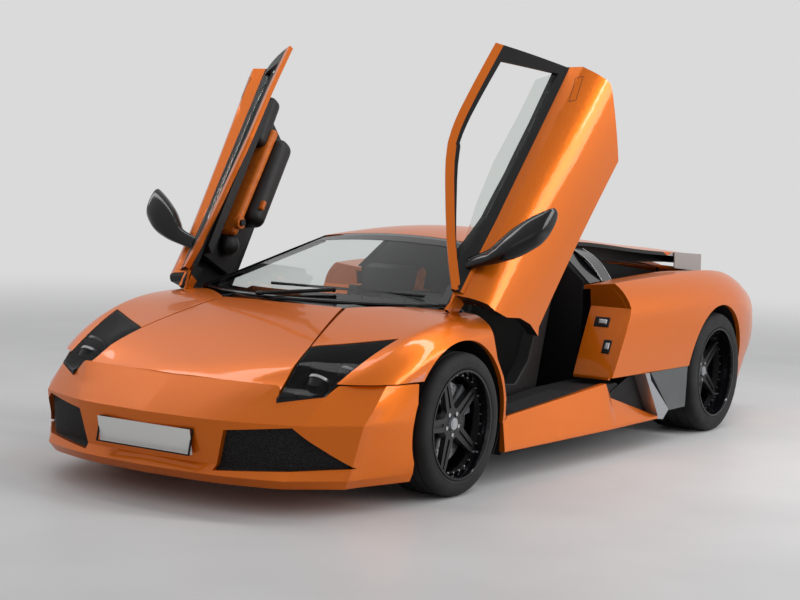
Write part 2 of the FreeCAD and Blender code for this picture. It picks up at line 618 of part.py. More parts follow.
NODES["exhaust"] = Part.makeCylinder(62, 360, Vector(0, 1930, 320), Vector(0, 1, 0)).cut(
    Part.makeCylinder(56, 330, Vector(0, 1980, 320), Vector(0, 1, 0)))

# Tub: floor, sills, tunnel and bulkheads
well_room = [cross_cylinder(FRONT_AXLE_Y, FRONT_TYRE_R, FRONT_ARCH_R + LINER_GAP + LINER_WALL + SEAT_GAP,
                            WELL_WALL_X - 5, 1200),
             cross_cylinder(REAR_AXLE_Y, REAR_TYRE_R, REAR_ARCH_R + LINER_GAP + LINER_WALL + SEAT_GAP,
                            WELL_WALL_X - 5, 1200)]
wells = both_sides(well_room)
sill = side_prism([(-892, FLOOR_Z), (620, FLOOR_Z), (620, 160), (262, 366), (-171, 357), (-860, 304),
                   (-892, 280)],
                  CABIN_HALF_W, SILL_X)
tub = [box(-CABIN_HALF_W, CABIN_HALF_W, DASH_Y, REAR_WALL_Y + SHEET, FLOOR_Z, FLOOR_Z + FLOOR_T),
       box(-CABIN_HALF_W, CABIN_HALF_W, DASH_Y - SHEET, DASH_Y, FLOOR_Z, 700),
       front_prism([(-708, 355), (-708, 878), (-490, 1053), (490, 1053), (708, 878), (708, 355),
                    (690, 355), (690, FLOOR_Z),
                    (-690, FLOOR_Z), (-690, 355)], REAR_WALL_Y, REAR_WALL_Y + SHEET),
       box(-95, 95, DASH_Y, REAR_WALL_Y, FLOOR_Z, 390)] + both_sides([sill])
tub = fused(tub).cut(wells)
pads = []
for pad_x, pad_y in JACK_PADS:
    pads += both_sides([box(pad_x - PAD_HALF, pad_x + PAD_HALF, pad_y - PAD_HALF, pad_y + PAD_HALF,
                            FLOOR_Z - PAD_DROP, FLOOR_Z)])
NODES["floor_tub"] = biggest(tub.fuse(pads).removeSplitter())


def liner(axle_y, wheel_z, arch_r):
    """Wheel well: a half drum open outwards, with a hole for the wishbones in its inner wall."""
    r = arch_r + LINER_GAP
    drum = cross_cylinder(axle_y, wheel_z, r + LINER_WALL, WELL_INNER_X, 1100).cut(
        cross_cylinder(axle_y, wheel_z, r, WELL_INNER_X + LINER_WALL, 1200))
    return drum.cut([box(500, 1200, axle_y - 600, axle_y + 600, -200, FLOOR_Z + FLOOR_T),
                     cross_cylinder(axle_y, wheel_z, 178, 500, 600)])


# Front frame: luggage box, ribs to the skin, wheel wells, scuttle beam and door hinge posts
front_y1 = DASH_Y - SHEET - SEAT_GAP
low_rib = box(WELL_WALL_X - SHEET, 1000, -1704, -1696, FLOOR_Z, BUMPER_TOP_Z).common(
    nose_loft(SKIN + SEAT_GAP, 19.0, 0.0, NOSE_BACK_Y + 60))
high_rib = box(WELL_WALL_X - SHEET, 1000, -1704, -1696, BUMPER_TOP_Z - 1, 800)
parts = [box(WELL_WALL_X - SHEET, WELL_WALL_X + 6, -2080, front_y1, FLOOR_Z, 800), low_rib, high_rib,
         box(296, 304, -2290, -2060, 200, 360).common(nose_loft(SKIN + SEAT_GAP, 19.0, 0.0, NOSE_BACK_Y
                                                                + 60)),
         liner(FRONT_AXLE_Y, FRONT_TYRE_R, FRONT_ARCH_R),
         box(WELL_INNER_X - 5, HINGE_ARM_X - 5, HINGE_Y - 40, front_y1, 690, 760)]
parts = both_sides(parts) + [box(-WELL_WALL_X, WELL_WALL_X, -2080, front_y1, FLOOR_Z, FLOOR_Z + FLOOR_T),
                             box(-WELL_WALL_X, WELL_WALL_X, -2080, -2068, FLOOR_Z, 420),
                             box(-WELL_WALL_X, WELL_WALL_X, -1394, -1250, 715, 735)]
front = fused(parts).common(INNER)
lamp_room = plan_prism(grown(LAMP, SEAT_GAP)).cut(body_loft(110.0 + SEAT_GAP, 80.0))
hood_room = plan_prism(grown(both(HOOD), 8.0)).cut(body_loft(SKIN + 12.0, 80.0))
front = front.cut([lamp_room, mirrored(lamp_room), hood_room, scuttle.fuse(NODES["cowl"])])
arm_room = box(HINGE_ARM_X - 4, HINGE_ARM_X + HINGE_ARM_T + 30, HINGE_Y - 60, -900, 700, 800)
front = front.cut([arm_room, mirrored(arm_room), NODES["front_bumper"]])
pin = hinge_rod(HINGE_PIN_R, HINGE_ARM_X - 20, HINGE_ARM_X + HINGE_ARM_T + 1)
front = front.fuse([pin, mirrored(pin)]).removeSplitter()

NODES["hood"] = biggest(hood.cut(both_sides([hinge_cut(HOOD_HINGE)])))
NODES["front_frame"] = biggest(front.fuse(both_sides([hinge_post(HOOD_HINGE, 725.0)])).removeSplitter())

# Rear frame: engine bay floor, rails, wheel wells, hoop behind the wheels and hinge beams
rear_y0 = REAR_WALL_Y + SHEET + SEAT_GAP
parts = both_sides([box(WELL_WALL_X - SHEET, WELL_WALL_X + 6, rear_y0, 1936, FLOOR_Z, 600),
                    box(330.3, 380, rear_y0, 1936, FLOOR_Z, 260),
                    liner(REAR_AXLE_Y, REAR_TYRE_R, REAR_ARCH_R).common(INNER).cut(
                        box(SILL_X - SEAT_GAP, 1100, 400, 1020, 0, 404 + SEAT_GAP))])
parts += both_sides([box(470, 490, rear_y0, rear_y0 + 26, FLOOR_Z, 1012)])
parts += [box(-WELL_WALL_X, WELL_WALL_X, rear_y0, 1936, FLOOR_Z, FLOOR_Z + FLOOR_T),
          box(-490, 490, rear_y0, FLAP_HINGE[1] + POST_R, 1010, 1024)]
hoop = box(-1100, 1100, 1936, 1986, 212.3, 1000).common(INNER).cut(body_loft(SKIN + 60.0).common(
    box(-1100, 1100, 1900, 2000, 300, 740)))
parts.append(hoop)
posts = [hinge_post(COVER_HINGE, 1012.0), hinge_post(FLAP_HINGE, 1012.0), hinge_post(SPOILER_HINGE, 800.0),
         box(SPOILER_HINGE[0] - 10, SPOILER_HINGE[0] + 10, 1940, 2044, 770, 806)]
rear_frame = fused(parts)
rear_frame = rear_frame.cut(Part.makeCylinder(62 + SEAT_GAP, 400, Vector(0, 1900, 320), Vector(0, 1, 0)))
rear_frame = rear_frame.cut([box(-640, 640, 1900, 1990, 815, 1000)]
                            + both_sides([box(570, 625, 1900, 1990, 766, 1000)]))
rear_frame = rear_frame.fuse(both_sides(posts))
NODES["rear_frame"] = biggest(rear_frame)

# Interior
seat_z = FLOOR_Z + FLOOR_T + SEAT_GAP
seat_side = [(-560, seat_z), (-590, 300), (-550, 350), (-200, 300), (-130, 330), (60, 880), (110, 900),
             (150, 870), (20, 470),
             (-40, seat_z)]
seat = side_prism(seat_side, SEAT_X - 175, SEAT_X + 175)
wing_side = [(-500, 250), (-470, 390), (-230, 370), (-110, 480), (10, 780), (110, 780), (20, 470),
             (-40, 250)]
seat = seat.fuse([side_prism(wing_side, SEAT_X - 245, SEAT_X - 175),
                  side_prism(wing_side, SEAT_X + 175, SEAT_X + 245)])
NODES["seats"] = pair(seat.removeSplitter())
dash_y0 = DASH_Y + SEAT_GAP
dash = side_prism([(dash_y0, 560), (dash_y0, 740), (-900, 800), (-740, 790), (-690, 740), (-670, 640),
                   (-730, 560)], -530, 530)
axis = Vector(0, math.cos(math.radians(STEERING_TILT_DEG)), math.sin(math.radians(STEERING_TILT_DEG)))
hub = Vector(SEAT_X, WHEEL_HUB_Y, WHEEL_HUB_Z)
column = Part.makeCylinder(COLUMN_R + 14, 200, hub - axis * 230,
                           axis).fuse(Part.makeCylinder(COLUMN_R, 60, hub - axis * 40, axis))
binnacle = side_prism([(-900, 780), (-860, 830), (-690, 830), (-700, 740)], SEAT_X - 150, SEAT_X + 150)
NODES["dashboard"] = fused([dash, column, binnacle, box(SEAT_X - 40, SEAT_X + 40, -860, -720, 540, 600)])
grip = [(STEERING_R - 16, -7), (STEERING_R - 8, -14), (STEERING_R + 8, -14), (STEERING_R + 16, -7),
        (STEERING_R + 16, 7), (STEERING_R + 8, 14), (STEERING_R - 8, 14), (STEERING_R - 16, 7)]
ring = [Vector(r, y, 0) for r, y in grip]
ring = Part.Face(Part.makePolygon(ring + [ring[0]])).revolve(Vector(0, 0, 0), Vector(0, 1, 0), 360)
wheel = [ring, Part.makeCylinder(48, 36, Vector(0, -18, 0), Vector(0, 1, 0))]
for angle in (90, 215, 325):
    spoke = box(0, STEERING_R, -6, 6, -17, 17)
    spoke.rotate(Vector(0, 0, 0), Vector(0, 1, 0), -angle)
    wheel.append(spoke)
wheel = fused(wheel).cut(Part.makeCylinder(COLUMN_R + RUN_GAP, 80, Vector(0, -40, 0),
                                           Vector(0, 1, 0)).common(
    box(-50, 50, -60, 8, -50, 50)))
wheel.rotate(Vector(0, 0, 0), Vector(1, 0, 0), STEERING_TILT_DEG)
wheel.translate(hub)
NODES["dashboard"] = NODES["dashboard"].cut(Part.makeCylinder(COLUMN_R + 60, 80, hub + axis * 7.9, axis))
NODES["steering_wheel"] = biggest(wheel)
NODES["engine"] = box(-330, 330, 300, 1250, FLOOR_Z + FLOOR_T + SEAT_GAP, 780)


# Wheels are drawn about their own axle, outer face towards +X, then put in place
def placed(shape, radius, width, face_x, axle_y, sign):
    shape.translate(Vector(face_x - width / 2, axle_y, radius))
    return shape if sign > 0 else mirrored(shape)


def turned(profile):
    """Ring turned from an (x, radius) profile."""
    pts = [Vector(x, 0, r) for x, r in profile]
    return Part.Face(Part.makePolygon(pts + [pts[0]])).revolve(Vector(0, 0, 0), Vector(1, 0, 0), 360)


def tyre(radius, width, rim_r):
    w = width / 2
    return turned([(-w + 14, rim_r), (-w + 3, rim_r + 12), (-w, radius - 45), (-w + 14, radius - 9),
                   (-w + 36, radius),
                   (w - 36, radius), (w - 14, radius - 9), (w, radius - 45), (w - 3, rim_r + 12),
                   (w - 14, rim_r)])


def rim(width, rim_r, dish):
    w = width / 2
    r = rim_r - SEAT_GAP
    hub_x = w - dish
    barrel = turned([(-w + 14, r), (w - 12, r), (w - 7, r + 5), (w - 3, r + 5), (w - 3, r - 4),
                     (w - 14, r - RIM_WALL),
                     (hub_x + 6, r - RIM_WALL - 8), (-w + 30, r - RIM_WALL - 12), (-w + 14, r - RIM_WALL)])
    hub_disc = turned([(hub_x - DISC_BACK, 20), (hub_x - 6, 20), (hub_x - 2, 40), (hub_x, HUB_FACE_R),
                       (hub_x - 20, HUB_FACE_R + 14),
                       (hub_x - DISC_BACK, HUB_FACE_R)])
    disc = turned([(hub_x - DISC_BACK - DISC_T, 60), (hub_x - DISC_BACK, 60), (hub_x - DISC_BACK, DISC_R),
                   (hub_x - DISC_BACK - DISC_T, DISC_R)])
    parts = [barrel, hub_disc, disc, cross_cylinder(0, 0, 62, hub_x - DISC_BACK - DISC_T, hub_x - 12)]
    for k in range(SPOKE_COUNT):
        out = r - 5
        spoke = prism([(hub_x - SPOKE_T, -SPOKE_ROOT_W / 2, 36), (hub_x - SPOKE_T, SPOKE_ROOT_W / 2, 36),
                       (hub_x - SPOKE_T, SPOKE_TIP_W / 2, out), (hub_x - SPOKE_T, -SPOKE_TIP_W / 2, out)],
                      (SPOKE_T, 0, 0))
        bevel = prism([(hub_x - 8, -8, 60), (hub_x - 8, 8, 60), (hub_x - 8, 5, r - 30),
                       (hub_x - 8, -5, r - 30)], (20, 0, 0))
        spoke = spoke.cut(bevel)
        spoke.rotate(Vector(0, 0, 0), Vector(1, 0, 0), 360.0 / SPOKE_COUNT * k + 90)
        parts.append(spoke)
    return fused(parts).cut(cross_cylinder(0, 0, AXLE_R, hub_x - DISC_BACK - DISC_T - 10, hub_x - 14))


def upright(width, dish, pivot_x, caliper_deg):
    """Upright with stub axle and brake caliper; the wishbones meet it above and below the pivot."""
    hub_x = width / 2 - dish
    back = hub_x - DISC_BACK - DISC_T
    block = box(pivot_x - 20, back - 4, -UPRIGHT_W / 2, UPRIGHT_W / 2, -UPRIGHT_H, UPRIGHT_H)
    stub = cross_cylinder(0, 0, AXLE_R - RUN_GAP, back - 10, hub_x - 15)
    sector = turned([(back - 26, 96), (hub_x - DISC_BACK + 16, 96), (hub_x - DISC_BACK + 16, DISC_R + 18),
                     (back - 26, DISC_R + 18)])
    sector = sector.common(prism([(-200, 0, 0), (-200, 230, -95), (-200, 230, 95)], (400, 0, 0)))
    slot = cross_cylinder(0, 0, DISC_R + 5, back - 4, hub_x - DISC_BACK + 4)
    caliper = biggest(sector.cut(slot))
    caliper.rotate(Vector(0, 0, 0), Vector(1, 0, 0), caliper_deg)
    web = box(back - 26, back - 4, 0, 110, -24, 24)
    web.rotate(Vector(0, 0, 0), Vector(1, 0, 0), caliper_deg)
    return biggest(fused([block, stub, web, caliper]))


for side, sign in (("l", 1), ("r", -1)):
    front_at = (FRONT_TYRE_R, FRONT_TYRE_W, FRONT_FACE_X, FRONT_AXLE_Y, sign)
    rear_at = (REAR_TYRE_R, REAR_TYRE_W, REAR_FACE_X, REAR_AXLE_Y, sign)
    NODES["tyre_f" + side] = placed(tyre(FRONT_TYRE_R, FRONT_TYRE_W, FRONT_RIM_R), *front_at)
    NODES["tyre_r" + side] = placed(tyre(REAR_TYRE_R, REAR_TYRE_W, REAR_RIM_R), *rear_at)
    NODES["rim_f" + side] = placed(rim(FRONT_TYRE_W, FRONT_RIM_R, FRONT_DISH), *front_at)
    NODES["rim_r" + side] = placed(rim(REAR_TYRE_W, REAR_RIM_R, REAR_DISH), *rear_at)
    pivot = STEER_X - (FRONT_FACE_X - FRONT_TYRE_W / 2)
    NODES["knuckle_f" + side] = placed(upright(FRONT_TYRE_W, FRONT_DISH, pivot, 30.0), *front_at)
pivot = REAR_UPRIGHT_X - (REAR_FACE_X - REAR_TYRE_W / 2)
NODES["hub_carriers_rear"] = pair(placed(upright(REAR_TYRE_W, REAR_DISH, pivot, 150.0), REAR_TYRE_R,
                                         REAR_TYRE_W, REAR_FACE_X,
                                         REAR_AXLE_Y, 1))

# Wishbones above and below each upright, and the rear drive shafts
arms = []
for axle_y, wheel_z, x_out in ((FRONT_AXLE_Y, FRONT_TYRE_R, STEER_X),
                               (REAR_AXLE_Y, REAR_TYRE_R, REAR_UPRIGHT_X)):
    for up in (-1.0, 1.0):
        z = wheel_z + up * (UPRIGHT_H + SEAT_GAP + ARM_R)
        x_in = WELL_WALL_X + 6.3
        fork = [(x_in, axle_y - 95), (x_out, axle_y - 18), (x_out, axle_y + 18), (x_in, axle_y + 95),
                (x_in, axle_y + 65),
                (x_out - 60, axle_y), (x_in, axle_y - 65)]
        arms.append(plan_prism(fork, z - ARM_R, z + ARM_R).fuse(
            Part.makeCylinder(ARM_R + 6, 2 * ARM_R, Vector(x_out, axle_y, z - ARM_R), Vector(0, 0, 1))))
shaft = tube((WELL_WALL_X + 6.3, REAR_AXLE_Y, REAR_TYRE_R), (REAR_UPRIGHT_X - 20.3, REAR_AXLE_Y,
                                                             REAR_TYRE_R), 18)
NODES["suspension_arms"] = Part.makeCompound(both_sides(arms + [shaft]))

os.makedirs("parts", exist_ok=True)
for name, shape in NODES.items():
    shape.exportStep("parts/" + name + ".step")
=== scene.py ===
"""Looks of an orange mid-engined sports car with both doors raised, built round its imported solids."""
import json
import math

import bmesh
import bpy
from mathutils import Matrix, Vector
from mathutils.bvhtree import BVHTree


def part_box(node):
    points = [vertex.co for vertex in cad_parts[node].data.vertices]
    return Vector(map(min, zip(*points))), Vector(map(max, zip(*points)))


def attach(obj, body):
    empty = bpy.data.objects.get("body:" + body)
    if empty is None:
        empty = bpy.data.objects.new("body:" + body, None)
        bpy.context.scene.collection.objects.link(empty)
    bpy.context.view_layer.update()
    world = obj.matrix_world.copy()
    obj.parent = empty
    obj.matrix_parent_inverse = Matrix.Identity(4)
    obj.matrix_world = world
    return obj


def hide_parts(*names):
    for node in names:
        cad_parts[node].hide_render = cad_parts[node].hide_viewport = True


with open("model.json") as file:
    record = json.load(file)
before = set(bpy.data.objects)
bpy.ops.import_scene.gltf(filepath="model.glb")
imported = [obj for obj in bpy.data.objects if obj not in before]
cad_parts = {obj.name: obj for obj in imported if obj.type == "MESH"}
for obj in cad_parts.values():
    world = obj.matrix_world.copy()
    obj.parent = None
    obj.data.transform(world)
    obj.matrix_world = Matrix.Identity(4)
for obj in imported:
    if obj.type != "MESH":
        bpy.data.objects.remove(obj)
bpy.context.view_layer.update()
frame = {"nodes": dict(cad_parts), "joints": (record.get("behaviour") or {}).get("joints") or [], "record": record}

# Camera that sees the car as the photograph does; its angles are in radians
CAMERA_AT = Vector((4.6884, -7.377, 1.4217))
CAMERA_YAW = 0.5909
CAMERA_PITCH = -0.0790
CAMERA_ROLL = 0.0364
CAMERA_LENS = 73.97

# Studio
BACKDROP = (0.70, 0.70, 0.70, 1.0)
WORLD_LIGHT = (0.97, 0.98, 1.0, 1.0)
WORLD_STRENGTH = 0.50
FLOOR_HALF = 40.0
FLOOR_FADE = (3.5, 13.0)
# Lamps: name, place, target, size and power
LAMPS = (
    ("overhead_left", (3.0, 1.0, 4.2), (0.8, 0.8, 0.6), (0.5, 6.0), 130.0),
    ("overhead_right", (-2.6, -0.6, 4.8), (0.0, 0.0, 0.4), (0.7, 6.0), 60.0),
    ("front_soft", (1.5, -7.5, 3.0), (0.0, -1.0, 0.5), (6.0, 2.4), 18.0),
    ("side_soft", (6.5, 2.2, 2.2), (0.5, 0.4, 0.7), (5.0, 2.4), 190.0),
)

# Making of pieces; from here on places are in metres and angles in degrees
SIDES = (("left", 1.0), ("right", -1.0))
MERGE = 2e-5
CUT = 1e-5
EDGE = 0.0012
PANEL_EDGE = 0.0015
TRIM_EDGE = 0.012
SEAT_EDGE = 0.020
CREASE_DEG = 28.0
SOFT_CREASE_DEG = 60.0
BEVEL_LIMIT_DEG = 40.0

# Wheels
FRONT_AXLE = (-1.295, 0.319)
REAR_AXLE = (1.370, 0.338)
FRONT_WHEEL = {"face": 0.968, "width": 0.245, "tyre": 0.319, "rim": 0.238, "dish": 0.058}
REAR_WHEEL = {"face": 1.014, "width": 0.335, "tyre": 0.338, "rim": 0.246, "dish": 0.092}
TYRE_CREASE_DEG = 35.0
RING_STEPS = 120
TREAD_GROOVES = 4
GROOVE_PITCH = 0.19
LIP_BOLTS = 30
LIP_BOLT = (0.0042, 0.008)
LIP_INSET = 0.022
HUB_NUTS = 5
HUB_NUT = (0.010, 0.010)
NUT_CIRCLE = 0.050
CENTRE_CAP = ((0.031, 0.012, 0.027), (0.021, 0.015, 0.018))
VALVE = (0.004, 0.030)
VALVE_SHARES = (0.72, 0.60)
DISC_BACK = 0.049
DISC_RADIUS = 0.185
DISC_FACE = 0.050
DISC_HOLES = 24
DISC_HOLE = (0.0035, 0.0006)
DISC_ROWS = (0.115, 0.135, 0.155, 0.172)

# Windscreen's lower and upper edge: half width, side y, side z, middle y, middle z
SCREEN_BASE = (0.745, -1.048, 0.812, -1.330, 0.806)
SCREEN_TOP = (0.478, -0.402, 1.060, -0.414, 1.096)
SCREEN_THICK = 0.005
SCREEN_GRID = (60, 28)
SCREEN_SPAN = (0.806, 0.27)
SIDE_BAND = 0.055
# Edges of its dark border: height at the middle, fall towards the sides, half width of the fall
LOW_BAND = (0.838, 0.030, 0.75)
HIGH_BAND = (1.068, 0.030, 0.48)
# Wiper's root, elbow, tip and tail: share across the glass, share up, shift in y, height off the glass
WIPER = ((0.40, 0.0, -0.02, 0.014), (0.62, 0.10, 0.0, 0.020), (0.90, 0.10, 0.0, 0.012),
         (0.36, 0.14, 0.0, 0.012))
WIPER_ARM = 0.009
WIPER_BLADE = 0.007

# Lamps of the car, markers and plate
PROJECTORS = ((0.655, -1.940, 0.532, 0.046), (0.727, -1.830, 0.566, 0.042))
PROJECTOR_LEAN = -38
MARKER = ((-1.712, 0.537), (-1.590, 0.575), (-1.608, 0.541))
MARKER_SUNK = 0.004
MARKER_THICK = 0.0065
FENDER_X = 0.942
PLATE_MIDDLE = (-2.2834, 0.2725)
PLATE_LEAN = -11.3
PLATE_RIM = (0.2595, 0.0535)
RIM_BAR = 0.006
RIM_DEPTH = 0.010
RIM_ROUNDING = 0.0025

# Closed window frame of the left door: y, belt x, belt z, roof rail x, roof rail z
SIDE = (
    (-1.035, 0.800, 0.806, 0.778, 0.818),
    (-0.850, 0.800, 0.815, 0.684, 0.888),
    (-0.600, 0.800, 0.824, 0.594, 0.984),
    (-0.390, 0.802, 0.836, 0.518, 1.060),
    (-0.100, 0.804, 0.852, 0.516, 1.078),
    (0.256, 0.802, 0.868, 0.512, 1.080),
)
RAIL_STRIP = 0.040
RAIL_ROUNDING = 0.16
BELT_X = 0.815
BELT_SHARE = 0.93
INNER_BELT_Z = 0.79
SHELL_SPLIT_Z = 0.70
FRAME_SLICES = 24
FRAME_SLICE_Y = (-1.0, 0.052)
HANDLE_CORNERS = ((0.060, 0.835), (0.190, 0.868), (0.215, 0.832), (0.085, 0.800), (0.060, 0.835))
HANDLE_STEPS = 6
HANDLE_SIGHT = Vector((-0.72, 0, -0.69))
HANDLE_RISE = 0.12
HANDLE_JOINT = 0.0012
# Pads on the left door's trim: size, rounding, y, z, lean, how far proud, finish;
# and its knob's drums: radius, length, how far proud, radius of the far end, sides, finish
DOOR_PADS = (
    ((0.105, 0.68, 0.050), 0.022, -0.33, 0.628, 3, 0.040, 1),
    ((0.150, 0.54, 0.125), 0.052, -0.27, 0.540, 4, 0.062, 0),
    ((0.090, 0.30, 0.100), 0.040, 0.02, 0.705, 6, 0.030, 0),
    ((0.030, 0.055, 0.026), 0.010, -0.44, 0.560, 4, 0.132, 1),
)
DOOR_KNOB = (-0.610, 0.630)
KNOB_DRUMS = ((0.032, 0.030, 0.092, 0.032, 40, 1), (0.018, 0.044, 0.098, 0.014, 32, 2))
DOOR_SPEAKER = (-0.70, 0.560)
SPEAKER_RADIUS = 0.058
TRIM_X = 0.84

# Mirror housing of the left door, from its arm outwards: x, y, z, half depth, half height
MIRROR_ROWS = ((0.790, -0.885, 0.808, 0.036, 0.022), (0.880, -0.857, 0.832, 0.042, 0.024),
               (0.925, -0.825, 0.842, 0.062, 0.034), (0.975, -0.785, 0.852, 0.084, 0.046),
               (1.045, -0.735, 0.862, 0.098, 0.054), (1.110, -0.680, 0.867, 0.092, 0.050),
               (1.133, -0.652, 0.868, 0.076, 0.040), (1.139, -0.645, 0.868, 0.050, 0.022))
MIRROR_STEPS = 6
MIRROR_SIDES = 40
MIRROR_SQUARENESS = 2.6

# Door openings: fittings of the left jamb (x, y, z, width, height), and tread and seal of the left sill
JAMB_FITTINGS = ((0.838, 0.246, 0.675, 0.085, 0.055), (0.900, 0.187, 0.556, 0.045, 0.075))
JAMB_LEAN = -26.1
TREAD_RIBS = 9
TREAD_RIB = 0.003
SEAL_RADIUS = 0.0035
TREAD_X = (0.790, 0.013)
TREAD_ENDS = ((-0.74, 0.3142), (-0.20, 0.3558))
SILL_SEAL = ((0.918, -0.85, 0.3058), (0.918, -0.171, 0.358), (0.918, 0.19, 0.3655))

# Roof, raised flaps, the panels beside the buttresses, and seats
HEADER_Y = -0.405
FLAP_MOUTH = (1.62, 0.572)
FLAP_WALL = ((0.520, 1.048), (1.000, 1.046), (1.600, 0.998), (1.990, 0.960), (1.990, 0.912), (1.000, 0.945))
FLAP_WALL_X = 0.366
FLAP_WALL_THICK = 0.004
FLAP_END = ((0.215, 0.005, 0.048), (0.475, 1.986, 0.936))
SAIL_FRONT = ((0.722, 0.452, 0.872), (0.528, 0.446, 1.038))
SAIL_REAR = ((0.700, 0.615, 0.864), (0.522, 0.600, 1.030))
SAIL_STEPS = 10
SAIL_BULGE = 0.030
SAIL_BEAD = 0.0028
SAIL_THICK = (-0.003, 0, -0.003)
SEAT_X = 0.365
BOLSTER_FROM = 0.168
BOLSTER_Z = 0.70

# Nose outlines in plan, one per level: z, centre y, inner x, y, corner x, y, side x, y, and the arch's x
NOSE = (
    (0.112, -2.268, 0.350, -2.256, 0.640, -2.165, 0.820, -1.990, 0.925),
    (0.150, -2.299, 0.388, -2.283, 0.662, -2.187, 0.842, -2.000, 0.940),
    (0.188, -2.262, 0.395, -2.246, 0.676, -2.160, 0.848, -1.988, 0.944),
    (0.377, -2.299, 0.403, -2.274, 0.722, -2.140, 0.884, -1.960, 0.955),
    (0.540, -2.072, 0.560, -2.060, 0.752, -1.975, 0.900, -1.795, 0.955),
)
NOSE_BACK_Y = -1.645
NOSE_CURVES = (0.19, 0.07, 0.11)
NOSE_REACH = 0.06
NOSE_SLICES = 13
NOSE_SLICE_X = (0.26, 0.05)
NOSE_SLICE_Y = (-2.16, 0.03)
NOSE_SLICE_Z = (0.40, 0.44, 0.47, 0.50)
NOSE_FADE = (0.54, 0.10)


# Camera, light and floor
def aim_camera():
    forward = Vector((-math.sin(CAMERA_YAW) * math.cos(CAMERA_PITCH),
                      math.cos(CAMERA_YAW) * math.cos(CAMERA_PITCH),
                      math.sin(CAMERA_PITCH)))
    level = Vector((math.cos(CAMERA_YAW), math.sin(CAMERA_YAW), 0.0))
    up = level.cross(forward)
    right = level * math.cos(CAMERA_ROLL) + up * math.sin(CAMERA_ROLL)
    top = up * math.cos(CAMERA_ROLL) - level * math.sin(CAMERA_ROLL)
    data = bpy.data.cameras.new("camera")
    data.sensor_width = 36.0
    data.lens = CAMERA_LENS
    data.clip_end = 200.0
    camera = bpy.data.objects.new("camera", data)
    bpy.context.scene.collection.objects.link(camera)
    facing = Matrix((right, top, -forward)).transposed().to_4x4()
    camera.matrix_world = Matrix.Translation(CAMERA_AT) @ facing
    bpy.context.scene.camera = camera


def add_lamp(name, place, target, size, power):
    data = bpy.data.lights.new(name, "AREA")
    data.shape = "RECTANGLE"
    data.size, data.size_y = size
    data.energy = power
    lamp = bpy.data.objects.new(name, data)
    bpy.context.scene.collection.objects.link(lamp)
    lamp.location = place
    lamp.rotation_euler = (Vector(target) - Vector(place)).to_track_quat("-Z", "Y").to_euler()


def seen_rays(nodes, links):
    """One for the rays on which the backdrop is seen: straight, in gloss and through glass."""
    path = nodes.new("ShaderNodeLightPath")
    total = path.outputs["Is Camera Ray"]
    for name in ("Is Glossy Ray", "Is Transmission Ray"):
        add = nodes.new("ShaderNodeMath")
        add.operation = "MAXIMUM"
        links.new(total, add.inputs[0])
        links.new(path.outputs[name], add.inputs[1])
        total = add.outputs["Value"]
    return total


def light_studio():
    world = bpy.data.worlds.new("studio")
    bpy.context.scene.world = world
    world.use_nodes = True
    nodes = world.node_tree.nodes
    links = world.node_tree.links
    light = nodes["Background"]
    light.inputs["Color"].default_value = WORLD_LIGHT
    light.inputs["Strength"].default_value = WORLD_STRENGTH
    shown = nodes.new("ShaderNodeBackground")
    shown.inputs["Color"].default_value = BACKDROP
    shown.inputs["Strength"].default_value = 1.0
    mix = nodes.new("ShaderNodeMixShader")
    links.new(seen_rays(nodes, links), mix.inputs["Fac"])
    links.new(light.outputs["Background"], mix.inputs[1])
    links.new(shown.outputs["Background"], mix.inputs[2])
    links.new(mix.outputs["Shader"], nodes["World Output"].inputs["Surface"])
    for lamp in LAMPS:
        add_lamp(*lamp)


def lay_floor():
    bm = bmesh.new()
    bmesh.ops.create_grid(bm, x_segments=1, y_segments=1, size=FLOOR_HALF)
    mesh = bpy.data.meshes.new("floor")
    bm.to_mesh(mesh)
    bm.free()
    floor = bpy.data.objects.new("floor", mesh)
    bpy.context.scene.collection.objects.link(floor)
    material, nodes, links, shader = new_material("floor_paint", (0.60, 0.62, 0.63), roughness=0.5)
    mottle = object_noise(nodes, links, 1.6, 2.0)
    tint(nodes, links, shader, mottle, (0.56, 0.56, 0.56), (0.60, 0.60, 0.60))
    shown = nodes.new("ShaderNodeEmission")
    shown.inputs["Color"].default_value = BACKDROP
    place = nodes.new("ShaderNodeTexCoord")
    distance = nodes.new("ShaderNodeVectorMath")
    distance.operation = "LENGTH"
    links.new(place.outputs["Object"], distance.inputs[0])
    far = nodes.new("ShaderNodeMapRange")
    far.interpolation_type = "SMOOTHSTEP"
    far.inputs["From Min"].default_value, far.inputs["From Max"].default_value = FLOOR_FADE
    links.new(distance.outputs["Value"], far.inputs["Value"])
    share = nodes.new("ShaderNodeMath")
    share.operation = "MULTIPLY"
    links.new(far.outputs["Result"], share.inputs[0])
    links.new(seen_rays(nodes, links), share.inputs[1])
    mix = nodes.new("ShaderNodeMixShader")
    links.new(share.outputs["Value"], mix.inputs["Fac"])
    links.new(shader.outputs["BSDF"], mix.inputs[1])
    links.new(shown.outputs["Emission"], mix.inputs[2])
    links.new(mix.outputs["Shader"], nodes["Material Output"].inputs["Surface"])
    mesh.materials.append(material)


# Finishes
def new_material(name, colour, **values):
    material = bpy.data.materials.new(name)
    material.use_nodes = True
    nodes = material.node_tree.nodes
    links = material.node_tree.links
    shader = nodes["Principled BSDF"]
    shader.inputs["Base Color"].default_value = (*colour, 1.0)
    for socket, value in values.items():
        shader.inputs[SOCKETS[socket]].default_value = value
    return material, nodes, links, shader


SOCKETS = {
    "metallic": "Metallic",
    "roughness": "Roughness",
    "coat": "Coat Weight",
    "coat_roughness": "Coat Roughness",
    "transmission": "Transmission Weight",
    "ior": "IOR",
    "specular": "Specular IOR Level",
}


